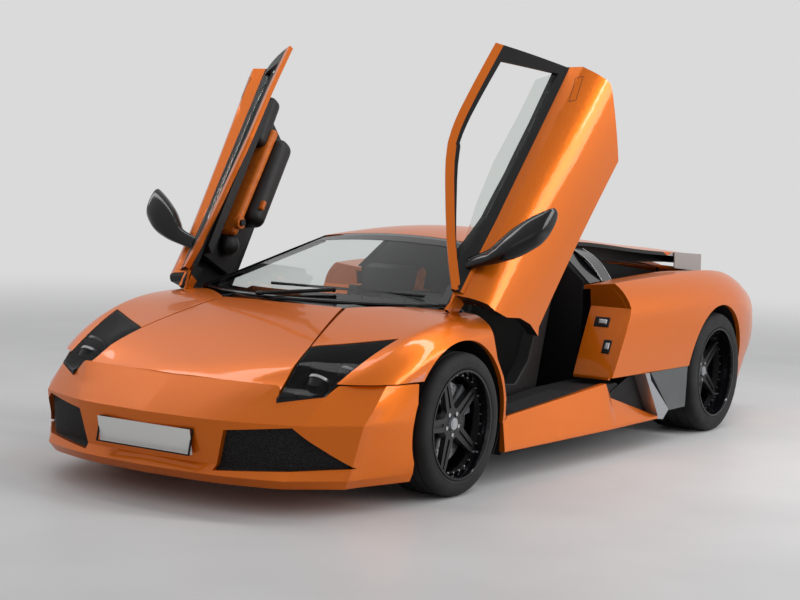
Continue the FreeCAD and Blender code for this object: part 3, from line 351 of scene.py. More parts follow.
def object_noise(nodes, links, scale, detail=3.0):
    place = nodes.new("ShaderNodeTexCoord")
    noise = nodes.new("ShaderNodeTexNoise")
    noise.inputs["Scale"].default_value = scale
    noise.inputs["Detail"].default_value = detail
    links.new(place.outputs["Object"], noise.inputs["Vector"])
    return noise.outputs["Fac"]


def object_cells(nodes, links, scale, feature="F1"):
    place = nodes.new("ShaderNodeTexCoord")
    cells = nodes.new("ShaderNodeTexVoronoi")
    cells.feature = feature
    cells.inputs["Scale"].default_value = scale
    links.new(place.outputs["Object"], cells.inputs["Vector"])
    return cells.outputs["Distance"]


def tint(nodes, links, shader, factor, low, high, spread=(0.3, 0.7)):
    ramp = nodes.new("ShaderNodeValToRGB")
    ramp.color_ramp.elements[0].position = spread[0]
    ramp.color_ramp.elements[1].position = spread[1]
    ramp.color_ramp.elements[0].color = (*low, 1.0)
    ramp.color_ramp.elements[1].color = (*high, 1.0)
    links.new(factor, ramp.inputs["Fac"])
    links.new(ramp.outputs["Color"], shader.inputs["Base Color"])


def vary_gloss(nodes, links, shader, factor, low, high):
    span = nodes.new("ShaderNodeMapRange")
    span.inputs["To Min"].default_value = low
    span.inputs["To Max"].default_value = high
    links.new(factor, span.inputs["Value"])
    links.new(span.outputs["Result"], shader.inputs["Roughness"])


def relief(nodes, links, shader, height, strength, depth):
    bump = nodes.new("ShaderNodeBump")
    bump.inputs["Strength"].default_value = strength
    bump.inputs["Distance"].default_value = depth
    links.new(height, bump.inputs["Height"])
    links.new(bump.outputs["Normal"], shader.inputs["Normal"])


def pearl_orange():
    """Orange base with fine metal flake under a clear coat."""
    material, nodes, links, shader = new_material(
        "pearl_orange", (0.64, 0.130, 0.002), metallic=0.60, roughness=0.36, coat=0.42, coat_roughness=0.05,
        specular=0.12)
    flake = object_cells(nodes, links, 900.0)
    tint(nodes, links, shader, flake, (0.56, 0.105, 0.002), (0.72, 0.160, 0.003), (0.1, 0.9))
    relief(nodes, links, shader, object_noise(nodes, links, 420.0, 2.0), 0.02, 0.0004)
    return material


def gloss_black():
    material, nodes, links, shader = new_material(
        "gloss_black", (0.003, 0.003, 0.004), roughness=0.12, coat=0.15, coat_roughness=0.05, specular=0.25)
    vary_gloss(nodes, links, shader, object_noise(nodes, links, 35.0), 0.08, 0.16)
    return material


def satin_black():
    material, nodes, links, shader = new_material("satin_black", (0.006, 0.006, 0.007), roughness=0.45,
                                                  specular=0.25)
    vary_gloss(nodes, links, shader, object_noise(nodes, links, 60.0), 0.38, 0.52)
    relief(nodes, links, shader, object_noise(nodes, links, 1400.0, 1.0), 0.15, 0.0002)
    return material


def moulded_black():
    """Grained plastic trim."""
    material, nodes, links, shader = new_material("moulded_black", (0.009, 0.009, 0.010), roughness=0.62,
                                                  specular=0.2)
    relief(nodes, links, shader, object_cells(nodes, links, 700.0), 0.35, 0.0003)
    vary_gloss(nodes, links, shader, object_noise(nodes, links, 25.0), 0.55, 0.72)
    return material


def black_leather():
    material, nodes, links, shader = new_material(
        "black_leather", (0.009, 0.008, 0.008), roughness=0.48, specular=0.3)
    relief(nodes, links, shader, object_cells(nodes, links, 420.0, "SMOOTH_F1"), 0.5, 0.0006)
    vary_gloss(nodes, links, shader, object_noise(nodes, links, 18.0), 0.42, 0.58)
    return material


def orange_leather():
    material, nodes, links, shader = new_material(
        "orange_leather", (0.56, 0.13, 0.010), roughness=0.48, specular=0.3)
    grain = object_cells(nodes, links, 420.0, "SMOOTH_F1")
    relief(nodes, links, shader, grain, 0.5, 0.0006)
    tint(nodes, links, shader, object_noise(nodes, links, 30.0), (0.48, 0.10, 0.007), (0.62, 0.155, 0.012))
    return material


def tyre_rubber():
    material, nodes, links, shader = new_material("tyre_rubber", (0.011, 0.011, 0.012), roughness=0.72,
                                                  specular=0.25)
    tint(nodes, links, shader, object_noise(nodes, links, 14.0), (0.008, 0.008, 0.009),
         (0.016, 0.016, 0.017))
    relief(nodes, links, shader, object_noise(nodes, links, 900.0, 2.0), 0.25, 0.0004)
    return material


def wheel_grey():
    """Dark satin lacquer of the spokes."""
    material, nodes, links, shader = new_material(
        "wheel_grey", (0.022, 0.022, 0.023), metallic=0.5, roughness=0.40)
    vary_gloss(nodes, links, shader, object_noise(nodes, links, 50.0), 0.36, 0.48)
    return material


def intake_mesh():
    """Black wire mesh over the intakes."""
    material, nodes, links, shader = new_material("intake_mesh", (0.006, 0.006, 0.006), roughness=0.6,
                                                  specular=0.2)
    cells = object_cells(nodes, links, 85.0, "DISTANCE_TO_EDGE")
    tint(nodes, links, shader, cells, (0.014, 0.014, 0.015), (0.001, 0.001, 0.001), (0.02, 0.14))
    relief(nodes, links, shader, cells, 0.9, 0.004)
    return material


def brushed_steel():
    material, nodes, links, shader = new_material("brushed_steel", (0.42, 0.42, 0.43), metallic=1.0,
                                                  roughness=0.34)
    vary_gloss(nodes, links, shader, object_noise(nodes, links, 260.0, 6.0), 0.26, 0.44)
    return material


def silver_lacquer():
    material, nodes, links, shader = new_material(
        "silver_lacquer", (0.34, 0.35, 0.37), metallic=0.8, roughness=0.34, coat=0.3)
    vary_gloss(nodes, links, shader, object_noise(nodes, links, 90.0), 0.30, 0.42)
    return material


def grey_lacquer():
    material, nodes, links, shader = new_material(
        "grey_lacquer", (0.055, 0.060, 0.062), metallic=0.2, roughness=0.42, coat=0.15)
    tint(nodes, links, shader, object_noise(nodes, links, 8.0), (0.048, 0.053, 0.055),
         (0.062, 0.067, 0.069))
    return material


def plate_grey():
    """Light satin lacquer of the flaps' end plates."""
    material, nodes, links, shader = new_material("plate_grey", (0.30, 0.29, 0.28), metallic=0.3,
                                                  roughness=0.38)
    vary_gloss(nodes, links, shader, object_noise(nodes, links, 40.0), 0.32, 0.44)
    return material


def clear_glass(name, colour, coat=0.3):
    material, nodes, links, shader = new_material(
        name, colour, roughness=0.0, transmission=1.0, ior=1.05, coat=coat, coat_roughness=0.02)
    vary_gloss(nodes, links, shader, object_noise(nodes, links, 12.0), 0.0, 0.02)
    return material


def blank_white():
    material, nodes, links, shader = new_material("plate_white", (0.72, 0.72, 0.70), roughness=0.4)
    vary_gloss(nodes, links, shader, object_noise(nodes, links, 40.0), 0.34, 0.46)
    return material


def amber_lens():
    material, nodes, links, shader = new_material("amber_lens", (0.60, 0.11, 0.01), roughness=0.2, coat=1.0)
    relief(nodes, links, shader, object_cells(nodes, links, 160.0), 0.6, 0.002)
    return material


def red_lens():
    material, nodes, links, shader = new_material("red_lens", (0.28, 0.004, 0.004), roughness=0.15,
                                                  coat=1.0)
    relief(nodes, links, shader, object_cells(nodes, links, 180.0), 0.5, 0.002)
    return material


def cast_metal():
    material, nodes, links, shader = new_material("cast_metal", (0.16, 0.16, 0.165), metallic=0.8,
                                                  roughness=0.55)
    relief(nodes, links, shader, object_noise(nodes, links, 300.0), 0.4, 0.0006)
    return material


FINISH = {}


def mix_finishes():
    FINISH.update({
        "orange": pearl_orange(),
        "gloss": gloss_black(),
        "satin": satin_black(),
        "moulded": moulded_black(),
        "leather": black_leather(),
        "orange_leather": orange_leather(),
        "rubber": tyre_rubber(),
        "wheel": wheel_grey(),
        "mesh": intake_mesh(),
        "steel": brushed_steel(),
        "silver": silver_lacquer(),
        "grey": grey_lacquer(),
        "grey_plate": plate_grey(),
        "glass": clear_glass("tinted_glass", (0.78, 0.82, 0.80)),
        "smoked": clear_glass("smoked_glass", (0.36, 0.36, 0.38), coat=0.1),
        "white": blank_white(),
        "amber": amber_lens(),
        "red": red_lens(),
        "cast": cast_metal(),
    })


# Ways of making pieces
def finish_piece(bm, name, body, finishes, crease=CREASE_DEG):
    """Turns a bmesh into a shaded object that rides on a body."""
    for face in bm.faces:
        face.smooth = True
    for edge in bm.edges:
        if len(edge.link_faces) == 2:
            edge.smooth = edge.calc_face_angle(0.0) < math.radians(crease)
    mesh = bpy.data.meshes.new(name)
    bm.to_mesh(mesh)
    bm.free()
    for finish in finishes:
        mesh.materials.append(FINISH[finish])
    piece = bpy.data.objects.new(name, mesh)
    bpy.context.scene.collection.objects.link(piece)
    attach(piece, body)
    return piece


def even_shading(piece):
    modifier = piece.modifiers.new("even_shading", "WEIGHTED_NORMAL")
    modifier.keep_sharp = True


def round_edges(piece, width):
    modifier = piece.modifiers.new("round_edges", "BEVEL")
    modifier.width = width
    modifier.segments = 2
    modifier.limit_method = "ANGLE"
    modifier.angle_limit = math.radians(BEVEL_LIMIT_DEG)
    modifier.harden_normals = False


def body_of(node):
    for body, nodes in frame["record"]["behaviour"]["bodies"].items():
        if node in nodes:
            return body
    return "chassis"


def merged_copy(node):
    """A solid's mesh with its shared corners merged."""
    bm = bmesh.new()
    bm.from_mesh(frame["nodes"][node].data)
    bmesh.ops.remove_doubles(bm, verts=bm.verts, dist=MERGE)
    return bm


def dress(node, finishes, choose=None, edge=EDGE):
    """A smooth-shaded, edge-rounded copy of a solid that stands in its place."""
    bm = merged_copy(node)
    if choose:
        for face in bm.faces:
            face.material_index = choose(face)
    piece = finish_piece(bm, node + "_piece", body_of(node), finishes)
    round_edges(piece, edge)
    even_shading(piece)
    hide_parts(node)


def paint(node, finish):
    """Gives a solid that stays a better finish."""
    data = frame["nodes"][node].data
    data.materials.clear()
    data.materials.append(FINISH[finish])


def spun(profile):
    """Closed ring turned about X from a profile of (x, radius) points."""
    bm = bmesh.new()
    rim = [bm.verts.new((x, 0.0, r)) for x, r in profile]
    edges = [bm.edges.new((rim[k], rim[(k + 1) % len(rim)])) for k in range(len(rim))]
    bmesh.ops.spin(bm, geom=rim + edges, cent=(0, 0, 0), axis=(1, 0, 0), angle=math.tau,
                   steps=RING_STEPS, use_merge=True)
    bmesh.ops.remove_doubles(bm, verts=bm.verts, dist=1e-6)
    bmesh.ops.recalc_face_normals(bm, faces=bm.faces)
    return bm


def set_down(bm, made, matrix, index):
    """Moves new vertices by the matrix and gives their faces a finish."""
    bmesh.ops.transform(bm, verts=made, matrix=matrix)
    for face in {f for v in made for f in v.link_faces}:
        face.material_index = index


def add_block(bm, size, matrix):
    """Box of the given size, moved by the matrix."""
    made = bmesh.ops.create_cube(bm, size=1.0)["verts"]
    bmesh.ops.scale(bm, verts=made, vec=size)
    set_down(bm, made, matrix, 0)


def add_drum(bm, radius, length, matrix, sides=24, index=0, top=None):
    """Cylinder or cone along its own Z, moved by the matrix."""
    made = bmesh.ops.create_cone(bm, cap_ends=True, segments=sides, radius1=radius,
                                 radius2=radius if top is None else top, depth=length)["verts"]
    set_down(bm, made, matrix, index)


def add_ball(bm, radius, matrix, index=0, rings=10):
    made = bmesh.ops.create_uvsphere(bm, u_segments=2 * rings, v_segments=rings, radius=radius)["verts"]
    set_down(bm, made, matrix, index)


def add_rod(bm, start, end, radius, index=0, sides=12):
    span = Vector(end) - Vector(start)
    middle = (Vector(start) + Vector(end)) / 2
    matrix = Matrix.Translation(middle) @ span.to_track_quat("Z", "Y").to_matrix().to_4x4()
    add_drum(bm, radius, span.length, matrix, sides=sides, index=index)


def join(bm, other):
    """Adds another bmesh to this one."""
    mesh = bpy.data.meshes.new("part")
    other.to_mesh(mesh)
    other.free()
    bm.from_mesh(mesh)
    bpy.data.meshes.remove(mesh)


def add_cushion(bm, size, radius, matrix, index=0):
    """Block with well rounded edges."""
    made = bmesh.new()
    bmesh.ops.create_cube(made, size=1.0)
    bmesh.ops.scale(made, verts=made.verts, vec=size)
    bmesh.ops.bevel(made, geom=made.edges[:], offset=radius, segments=6, affect="EDGES", profile=0.5,
                    material=-1, clamp_overlap=True)
    bmesh.ops.transform(made, verts=made.verts, matrix=matrix)
    for face in made.faces:
        face.material_index = index
    join(bm, made)


def thicken(bm, shift):
    """Turns a sheet into a plate by a shift of its copy."""
    made = bmesh.ops.extrude_face_region(bm, geom=bm.faces[:])["geom"]
    bmesh.ops.translate(bm, verts=[v for v in made if isinstance(v, bmesh.types.BMVert)], vec=shift)
    bmesh.ops.recalc_face_normals(bm, faces=bm.faces)


def mirror(bm):
    """Turns the left side's mesh into the right side's, or back."""
    bmesh.ops.scale(bm, verts=bm.verts, vec=(-1, 1, 1))
    bmesh.ops.reverse_faces(bm, faces=bm.faces)


def mirror_to(bm, sign):
    """Leaves the left side's mesh as it is and mirrors it for the right side."""
    if sign < 0:
        mirror(bm)


def at(x, y, z):
    return Matrix.Translation((x, y, z))


def turn(degrees, axis):
    return Matrix.Rotation(math.radians(degrees), 4, axis)


# Doors are drawn closed on the left and then raised and mirrored
def raise_matrix():
    """The left door's turn from closed to raised."""
    joint = next(joint for joint in frame["joints"] if joint["name"] == "door_left_hinge")
    place = Vector(joint["pos_m"])
    lift = -math.radians(joint["range_deg"][0])
    spin = Matrix.Rotation(lift, 4, Vector(joint["axis"]))
    return Matrix.Translation(place) @ spin @ Matrix.Translation(-place)


def on_door(bm, side):
    bmesh.ops.transform(bm, verts=bm.verts, matrix=raise_matrix())
    if side == "right":
        mirror(bm)


def closed_copy(node, side):
    """A door solid's mesh, merged and put back to the closed left door."""
    bm = merged_copy(node)
    if side == "right":
        mirror(bm)
    bmesh.ops.transform(bm, verts=bm.verts, matrix=raise_matrix().inverted())
    bm.normal_update()
    return bm


def side_line(y, smooth=0.0):
    """Belt and roof rail of the closed window frame at a station; smooth rounds the rail's corners."""
    if smooth:
        steps = [(y - smooth, 1), (y - smooth / 2, 2), (y, 3), (y + smooth / 2, 2), (y + smooth, 1)]
        belt = side_line(y)[0]
        rail = sum((side_line(at_y)[1] * weight for at_y, weight in steps), Vector())
        rail /= sum(weight for at_y, weight in steps)
        return belt, rail
    low, high = SIDE[0], SIDE[1]
    for k in range(1, len(SIDE) - 1):
        if y > SIDE[k][0]:
            low, high = SIDE[k], SIDE[k + 1]
    share = (y - low[0]) / (high[0] - low[0])
    belt_x, belt_z, rail_x, rail_z = (a + (b - a) * share for a, b in zip(low[1:], high[1:]))
    return Vector((belt_x, y, belt_z)), Vector((rail_x, y, rail_z))


def fall_share(point):
    """Share of the way from the roof rail down to the belt at which a place on the window frame lies."""
    belt, rail = side_line(point.y)
    fall = belt - rail
    return (point - rail).dot(fall.normalized()) / fall.length


def frame_faces(bm, y0=-2.0, y1=2.0):
    """Faces of the window frame, above the belt."""
    found = []
    for face in bm.faces:
        centre = face.calc_center_median()
        if y0 < centre.y < y1 and centre.x < BELT_X and fall_share(centre) < BELT_SHARE:
            found.append(face)
    return found


def slice_faces(bm, faces, place, normal):
    geom = list({v for f in faces for v in f.verts}) + list({e for f in faces for e in f.edges}) + faces
    bmesh.ops.bisect_plane(bm, geom=geom, plane_co=place, plane_no=normal, dist=CUT)


def curve_frame(bm):
    """Parts the frame's orange rail strip from its black inner band and rounds the rail's corners."""
    strip_edges = []
    for row, later in zip(SIDE, SIDE[1:]):
        belt, rail = side_line(row[0])
        end_belt, end_rail = side_line(later[0])
        along = (end_rail - rail).normalized()
        inward = (belt + end_belt - rail - end_rail).normalized()
        inward = (inward - along * inward.dot(along)).normalized()
        slice_faces(bm, frame_faces(bm, row[0], later[0]), rail + inward * RAIL_STRIP, inward)
        strip_edges.append((later[0], rail + inward * RAIL_STRIP, inward))
    for k in range(FRAME_SLICES):
        slice_faces(bm, frame_faces(bm), Vector((0.0, FRAME_SLICE_Y[0] + FRAME_SLICE_Y[1] * k, 0.0)),
                    Vector((0, 1, 0)))
    upper = [f for f in bm.faces if f.calc_center_median().z > SHELL_SPLIT_Z]
    slice_faces(bm, upper, Vector((BELT_X, 0, 0)), Vector((1, 0, 0)))
    shifts = {}
    on_frame = set(frame_faces(bm))
    for face in bm.faces:
        centre = face.calc_center_median()
        outward = face.normal.x * 0.8 + face.normal.z * 0.6 > 0.1
        if face in on_frame:
            edge = next((e for e in strip_edges if centre.y < e[0]), strip_edges[-1])
            strip = (centre - edge[1]).dot(edge[2]) < 0 and (outward or face.normal.x < -0.3)
            face.material_index = 0 if strip else 1
        else:
            inside = centre.x < BELT_X and centre.z > INNER_BELT_Z
            face.material_index = 0 if outward and not inside else 1
    for face in on_frame:
        for vert in face.verts:
            share = min(1.0, max(0.0, 1.0 - fall_share(vert.co)))
            shifts[vert] = (side_line(vert.co.y, RAIL_ROUNDING)[1] - side_line(vert.co.y)[1]) * share
    for vert, shift in shifts.items():
        vert.co += shift
    bm.normal_update()


def dress_door(side):
    """Shell, trim, mirror, glass and fittings of a door."""
    shell = closed_copy("door_" + side + "_shell", side)
    skin = BVHTree.FromBMesh(shell)
    curve_frame(shell)
    on_door(shell, side)
    body = "door_" + side
    piece = finish_piece(shell, body + "_shell_piece", body, ["orange", "satin"])
    round_edges(piece, PANEL_EDGE)
    even_shading(piece)
    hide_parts(body + "_shell")
    dress(body + "_trim", ["leather"], edge=TRIM_EDGE)
    dress_mirror(side)
    paint(body + "_glass", "glass")
    add_inner_pads(side)
    add_handle_line(side, skin)


def row_between(rows, k, share):
    """Row of numbers at a share of the way from row k to the next, on a smooth curve through all rows."""
    before, start, end, after = rows[max(k - 1, 0)], rows[k], rows[k + 1], rows[min(k + 2, len(rows) - 1)]
    return [
        0.5 * (2 * b + (c - a) * share + (2 * a - 5 * b + 4 * c - d) * share * share
               + (3 * b - a - 3 * c + d) * share ** 3)
        for a, b, c, d in zip(before, start, end, after)]


def mirror_ring(bm, x, y, z, deep, tall):
    """Edges of a circle drawn out to the housing's rounded oblong at a row."""
    ring = bmesh.ops.create_circle(bm, cap_ends=False, segments=MIRROR_SIDES, radius=1.0)["verts"]
    edges = {edge for vert in ring for edge in vert.link_edges}
    for vert in ring:
        across, up = vert.co.xy
        size = abs(across) ** MIRROR_SQUARENESS + abs(up) ** MIRROR_SQUARENESS
        fit = size ** (-1 / MIRROR_SQUARENESS)
        vert.co = (x, y + deep * across * fit, z + tall * up * fit)
    return edges


def dress_mirror(side):
    """Mirror housing as one smooth wedge round the line of its solid."""
    bm = bmesh.new()
    last = len(MIRROR_ROWS) - 2
    rings = [mirror_ring(bm, *row_between(MIRROR_ROWS, k, step / MIRROR_STEPS))
             for k in range(last + 1) for step in range(MIRROR_STEPS + (k == last))]
    for low, high in zip(rings, rings[1:]):
        bmesh.ops.bridge_loops(bm, edges=list(low | high))
    bmesh.ops.holes_fill(bm, edges=bm.edges[:], sides=0)
    bmesh.ops.recalc_face_normals(bm, faces=bm.faces)
    on_door(bm, side)
    piece = finish_piece(bm, "door_" + side + "_mirror_piece", "door_" + side, ["gloss"],
                         crease=SOFT_CREASE_DEG)
    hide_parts("door_" + side + "_mirror")


def add_inner_pads(side):
    """Armrest, pull strap, knob, speaker and upper pad on the door's inner trim."""
    trim = closed_copy("door_" + side + "_trim", side)
    tree = BVHTree.FromBMesh(trim)
    trim.free()

    def on_trim(y, z, lean, proud):
        hit = tree.ray_cast(Vector((0.3, y, z)), Vector((1, 0, 0)))[0] or Vector((TRIM_X, y, z))
        return Matrix.Translation(hit - Vector((proud, 0, 0))) @ turn(lean, "X")

    bm = bmesh.new()
    for size, rounding, y, z, lean, proud, index in DOOR_PADS:
        add_cushion(bm, size, rounding, on_trim(y, z, lean, proud), index)
    for radius, length, proud, top, sides, index in KNOB_DRUMS:
        add_drum(bm, radius, length, on_trim(*DOOR_KNOB, 0, proud) @ turn(90, "Y"), sides, index, top)
    add_ball(bm, SPEAKER_RADIUS, on_trim(*DOOR_SPEAKER, 0, 0.030) @ Matrix.Diagonal((0.75, 1, 1, 1)),
             rings=18)
    on_door(bm, side)
    finish_piece(bm, "door_" + side + "_pads", "door_" + side, ["leather", "orange_leather", "gloss"],
                 crease=SOFT_CREASE_DEG)


def add_handle_line(side, skin):
    """Fine joint round the handle flap at the door's upper rear corner."""
    bm = bmesh.new()
    places = []
    for (y0, z0), (y1, z1) in zip(HANDLE_CORNERS, HANDLE_CORNERS[1:]):
        for k in range(HANDLE_STEPS):
            y = y0 + (y1 - y0) * k / HANDLE_STEPS
            z = z0 + (z1 - z0) * k / HANDLE_STEPS
            hit = skin.ray_cast(Vector((1.0, y, z + HANDLE_RISE)), HANDLE_SIGHT)[0]
            if hit:
                places.append(hit)
    for start, end in zip(places, places[1:] + places[:1]):
        add_rod(bm, start, end, HANDLE_JOINT, sides=6)
    on_door(bm, side)
    finish_piece(bm, "door_" + side + "_handle_joint", "door_" + side, ["satin"])


# Wheels
def dress_tyre(corner, spec, axle, sign):
    """Tyre with round shoulders, grooves round its tread and a raised ring on its wall."""
    half = spec["width"] / 2
    rim_r, tyre_r = spec["rim"], spec["tyre"]
    wall = tyre_r - rim_r
    shoulder = [(-half + 0.014, rim_r), (-half + 0.003, rim_r + 0.012),
                (-half + 0.0005, rim_r + wall * 0.45), (-half + 0.004, tyre_r - 0.024),
                (-half + 0.012, tyre_r - 0.010), (-half + 0.024, tyre_r - 0.003),
                (-half + 0.040, tyre_r - 0.0005)]
    grooves = []
    for k in range(TREAD_GROOVES):
        x = (k - (TREAD_GROOVES - 1) / 2) * spec["width"] * GROOVE_PITCH
        grooves += [(x - 0.006, tyre_r - 0.0002), (x - 0.004, tyre_r - 0.007),
                    (x + 0.004, tyre_r - 0.007), (x + 0.006, tyre_r - 0.0002)]
    bm = spun(shoulder + grooves + [(-x, r) for x, r in reversed(shoulder)])
    join(bm, spun([(half - 0.003, rim_r + 0.014), (half - 0.0006, rim_r + 0.020),
                   (half - 0.003, rim_r + 0.026), (half - 0.006, rim_r + 0.020)]))
    bmesh.ops.transform(bm, verts=bm.verts, matrix=at(spec["face"] - half, *axle))
    mirror_to(bm, sign)
    tyre = finish_piece(bm, "tyre_" + corner + "_piece", "wheel_" + corner, ["rubber"],
                        crease=TYRE_CREASE_DEG)
    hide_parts("tyre_" + corner)


def dress_rim(corner, spec, axle, sign):
    """Rim with grey spokes and a black barrel, and the bright disc behind them."""
    middle = spec["face"] - spec["width"] / 2
    hub = spec["width"] / 2 - spec["dish"]

    def rim_part(face):
        centre = face.calc_center_median()
        x = centre.x * sign - middle
        radius = math.hypot(centre.y - axle[0], centre.z - axle[1])
        if x < hub - DISC_BACK:
            return 2 if radius < DISC_RADIUS else 1
        return 0 if radius < spec["rim"] - 0.014 and hub - 0.03 < x < hub + 0.005 else 1

    dress("rim_" + corner, ["wheel", "gloss", "steel"], rim_part, edge=PANEL_EDGE)


def on_wheel(x, axle, radius=0.0, angle=0.0):
    """Placement of a drum that faces sideways, at a radius and an angle from the top of the wheel."""
    return at(x, axle[0] + radius * math.sin(angle), axle[1] + radius * math.cos(angle)) @ turn(90, "Y")


def add_wheel_bolts(corner, spec, axle, sign):
    """Lip bolts, hub nuts, centre cap and valve."""
    hub_x, rim_r = spec["face"] - spec["dish"], spec["rim"]
    bm = bmesh.new()
    for k in range(LIP_BOLTS):
        bolt = on_wheel(hub_x + 0.012, axle, rim_r - LIP_INSET, math.tau * k / LIP_BOLTS)
        add_drum(bm, *LIP_BOLT, bolt, sides=8)
    for k in range(HUB_NUTS):
        nut = on_wheel(hub_x - 0.002, axle, NUT_CIRCLE, math.tau * (k + 0.5) / HUB_NUTS)
        add_drum(bm, *HUB_NUT, nut, sides=6)
    for radius, length, top in CENTRE_CAP:
        add_drum(bm, radius, length, on_wheel(hub_x + 0.004, axle), sides=40, index=1, top=top)
    back, down = (rim_r * share for share in VALVE_SHARES)
    valve = at(hub_x + 0.016, axle[0] + back, axle[1] - down) @ turn(90, "Y")
    add_drum(bm, *VALVE, valve, sides=10, index=1)
    mirror_to(bm, sign)
    finish_piece(bm, "wheel_bolts_" + corner, "wheel_" + corner, ["steel", "silver"])


def paint_disc_hole_shade(corner, spec, axle, sign):
    """Rows of flat black dots on the face of each brake disc: painted shade standing in for the insides of its
    drilled holes.
    """
    face_x = spec["face"] - spec["dish"] - DISC_FACE
    bm = bmesh.new()
    for row, radius in enumerate(DISC_ROWS):
        for k in range(DISC_HOLES):
            hole = on_wheel(face_x + 0.0002, axle, radius, math.tau * (k + 0.25 * row) / DISC_HOLES)
            # a flat black dot, painted shade for the inside of one drilled hole
            add_drum(bm, *DISC_HOLE, hole, sides=8)
    mirror_to(bm, sign)
    finish_piece(bm, "disc_hole_shade_" + corner, "wheel_" + corner, ["satin"])


def dress_wheel(corner, spec, axle):
    sign = 1.0 if corner.endswith("l") else -1.0
    for make in (dress_tyre, dress_rim, add_wheel_bolts, paint_disc_hole_shade):
        make(corner, spec, axle, sign)


# Windscreen with its dark border, and wiper
def screen_point(u, v):
    """Place on the windscreen: u from the right edge to the left, v from the base to the header."""
    ends = []
    for half, side_y, side_z, mid_y, mid_z in (SCREEN_BASE, SCREEN_TOP):
        sag = math.hypot(mid_y - side_y, mid_z - side_z)
        radius = (half * half + sag * sag) / (2 * sag)
        angle = math.asin(half / radius) * (2 * u - 1)
        rise = (radius * math.cos(angle) - (radius - sag)) / sag
        ends.append(Vector((radius * math.sin(angle), side_y + (mid_y - side_y) * rise,
                            side_z + (mid_z - side_z) * rise)))
    return ends[0].lerp(ends[1], v)


def band_edge(x, middle, fall, half):
    """Height of a dark band's edge at a distance from the car's middle."""
    return middle - fall * (x / half) ** 2


def dress_windscreen():
    bm = bmesh.new()
    bmesh.ops.create_grid(bm, x_segments=SCREEN_GRID[0], y_segments=SCREEN_GRID[1], size=0.5)
    for vert in bm.verts:
        vert.co = screen_point(vert.co.x + 0.5, vert.co.y + 0.5)
        vert.normal_update()
    for face in bm.faces:
        x, z = face.calc_center_median().xz
        half = SCREEN_BASE[0] + (SCREEN_TOP[0] - SCREEN_BASE[0]) * (z - SCREEN_SPAN[0]) / SCREEN_SPAN[1]
        dark = abs(x) > half - SIDE_BAND or z < band_edge(x, *LOW_BAND) or z > band_edge(x, *HIGH_BAND)
        face.material_index = 1 if dark else 0
    bmesh.ops.recalc_face_normals(bm, faces=bm.faces)
    piece = finish_piece(bm, "windshield_piece", "chassis", ["glass", "gloss"])
    solid = piece.modifiers.new("pane", "SOLIDIFY")
    solid.thickness = SCREEN_THICK
    solid.offset = 1.0 if piece.data.polygons[0].normal.z < 0 else -1.0
    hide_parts("windshield")


def add_wiper():
    root, elbow, tip, tail = (screen_point(u, v) + Vector((0, along, off)) for u, v, along, off in WIPER)
    bm = bmesh.new()
    add_rod(bm, root, elbow, WIPER_ARM)
    add_rod(bm, tail, tip, WIPER_BLADE)
    add_ball(bm, 0.020, Matrix.Translation(root) @ Matrix.Diagonal((1, 1, 0.6, 1)))
    add_ball(bm, 0.012, Matrix.Translation(elbow))
    finish_piece(bm, "wiper", "chassis", ["satin"])


# Lamps, marker and plate
def add_projectors():
    for side, sign in SIDES:
        bm = bmesh.new()
        for x, y, z, radius in PROJECTORS:
            lamp = at(x, y, z) @ turn(PROJECTOR_LEAN, "X")
            add_drum(bm, radius, 0.05, lamp @ at(0, 0, -0.02), sides=40)
            add_drum(bm, radius * 1.08, 0.012, lamp @ at(0, 0, 0.004), sides=40, index=1)
            add_ball(bm, radius * 0.74, lamp @ Matrix.Diagonal((1, 1, 0.35, 1)) @ at(0, 0, 0.010), index=2,
                     rings=16)
        mirror_to(bm, sign)
        finish_piece(bm, "projectors_" + side, "chassis", ["satin", "steel", "smoked"])


def add_markers():
    """Amber marker let into each fender above the bumper's joint."""
    fender = merged_copy("front_fenders")
    skin = BVHTree.FromBMesh(fender)
    fender.free()
    for side, sign in SIDES:
        bm = bmesh.new()
        bm.faces.new([bm.verts.new((1.0, y, z)) for y, z in MARKER])
        bmesh.ops.subdivide_edges(bm, edges=bm.edges[:], cuts=5, use_grid_fill=True)
        for vert in bm.verts:
            hit = skin.ray_cast(Vector((1.3, vert.co.y, vert.co.z)), Vector((-1, 0, 0)))[0]
            vert.co.x = (hit.x if hit else FENDER_X) - MARKER_SUNK
        thicken(bm, (MARKER_THICK, 0, 0))
        mirror_to(bm, sign)
        finish_piece(bm, "side_marker_" + side, "chassis", ["amber"])


# Nose, plate and door openings
def nose_corners(z):
    """Corners of the nose outline at a level."""
    low, high = NOSE[0], NOSE[1]
    for k in range(1, len(NOSE) - 1):
        if z > NOSE[k][0]:
            low, high = NOSE[k], NOSE[k + 1]
    share = min(1.0, max(0.0, (z - low[0]) / (high[0] - low[0])))
    centre_y, xi, yi, xc, yc, xs, ys, xe = (a + (b - a) * share for a, b in zip(low[1:], high[1:]))
    return [Vector((0, centre_y)), Vector((xi, yi)), Vector((xc, yc)), Vector((xs, ys)),
            Vector((xe, NOSE_BACK_Y))]


def slice_all(bm, place, normal):
    bmesh.ops.bisect_plane(bm, geom=bm.verts[:] + bm.edges[:] + bm.faces[:], plane_co=place,
                           plane_no=normal, dist=CUT)


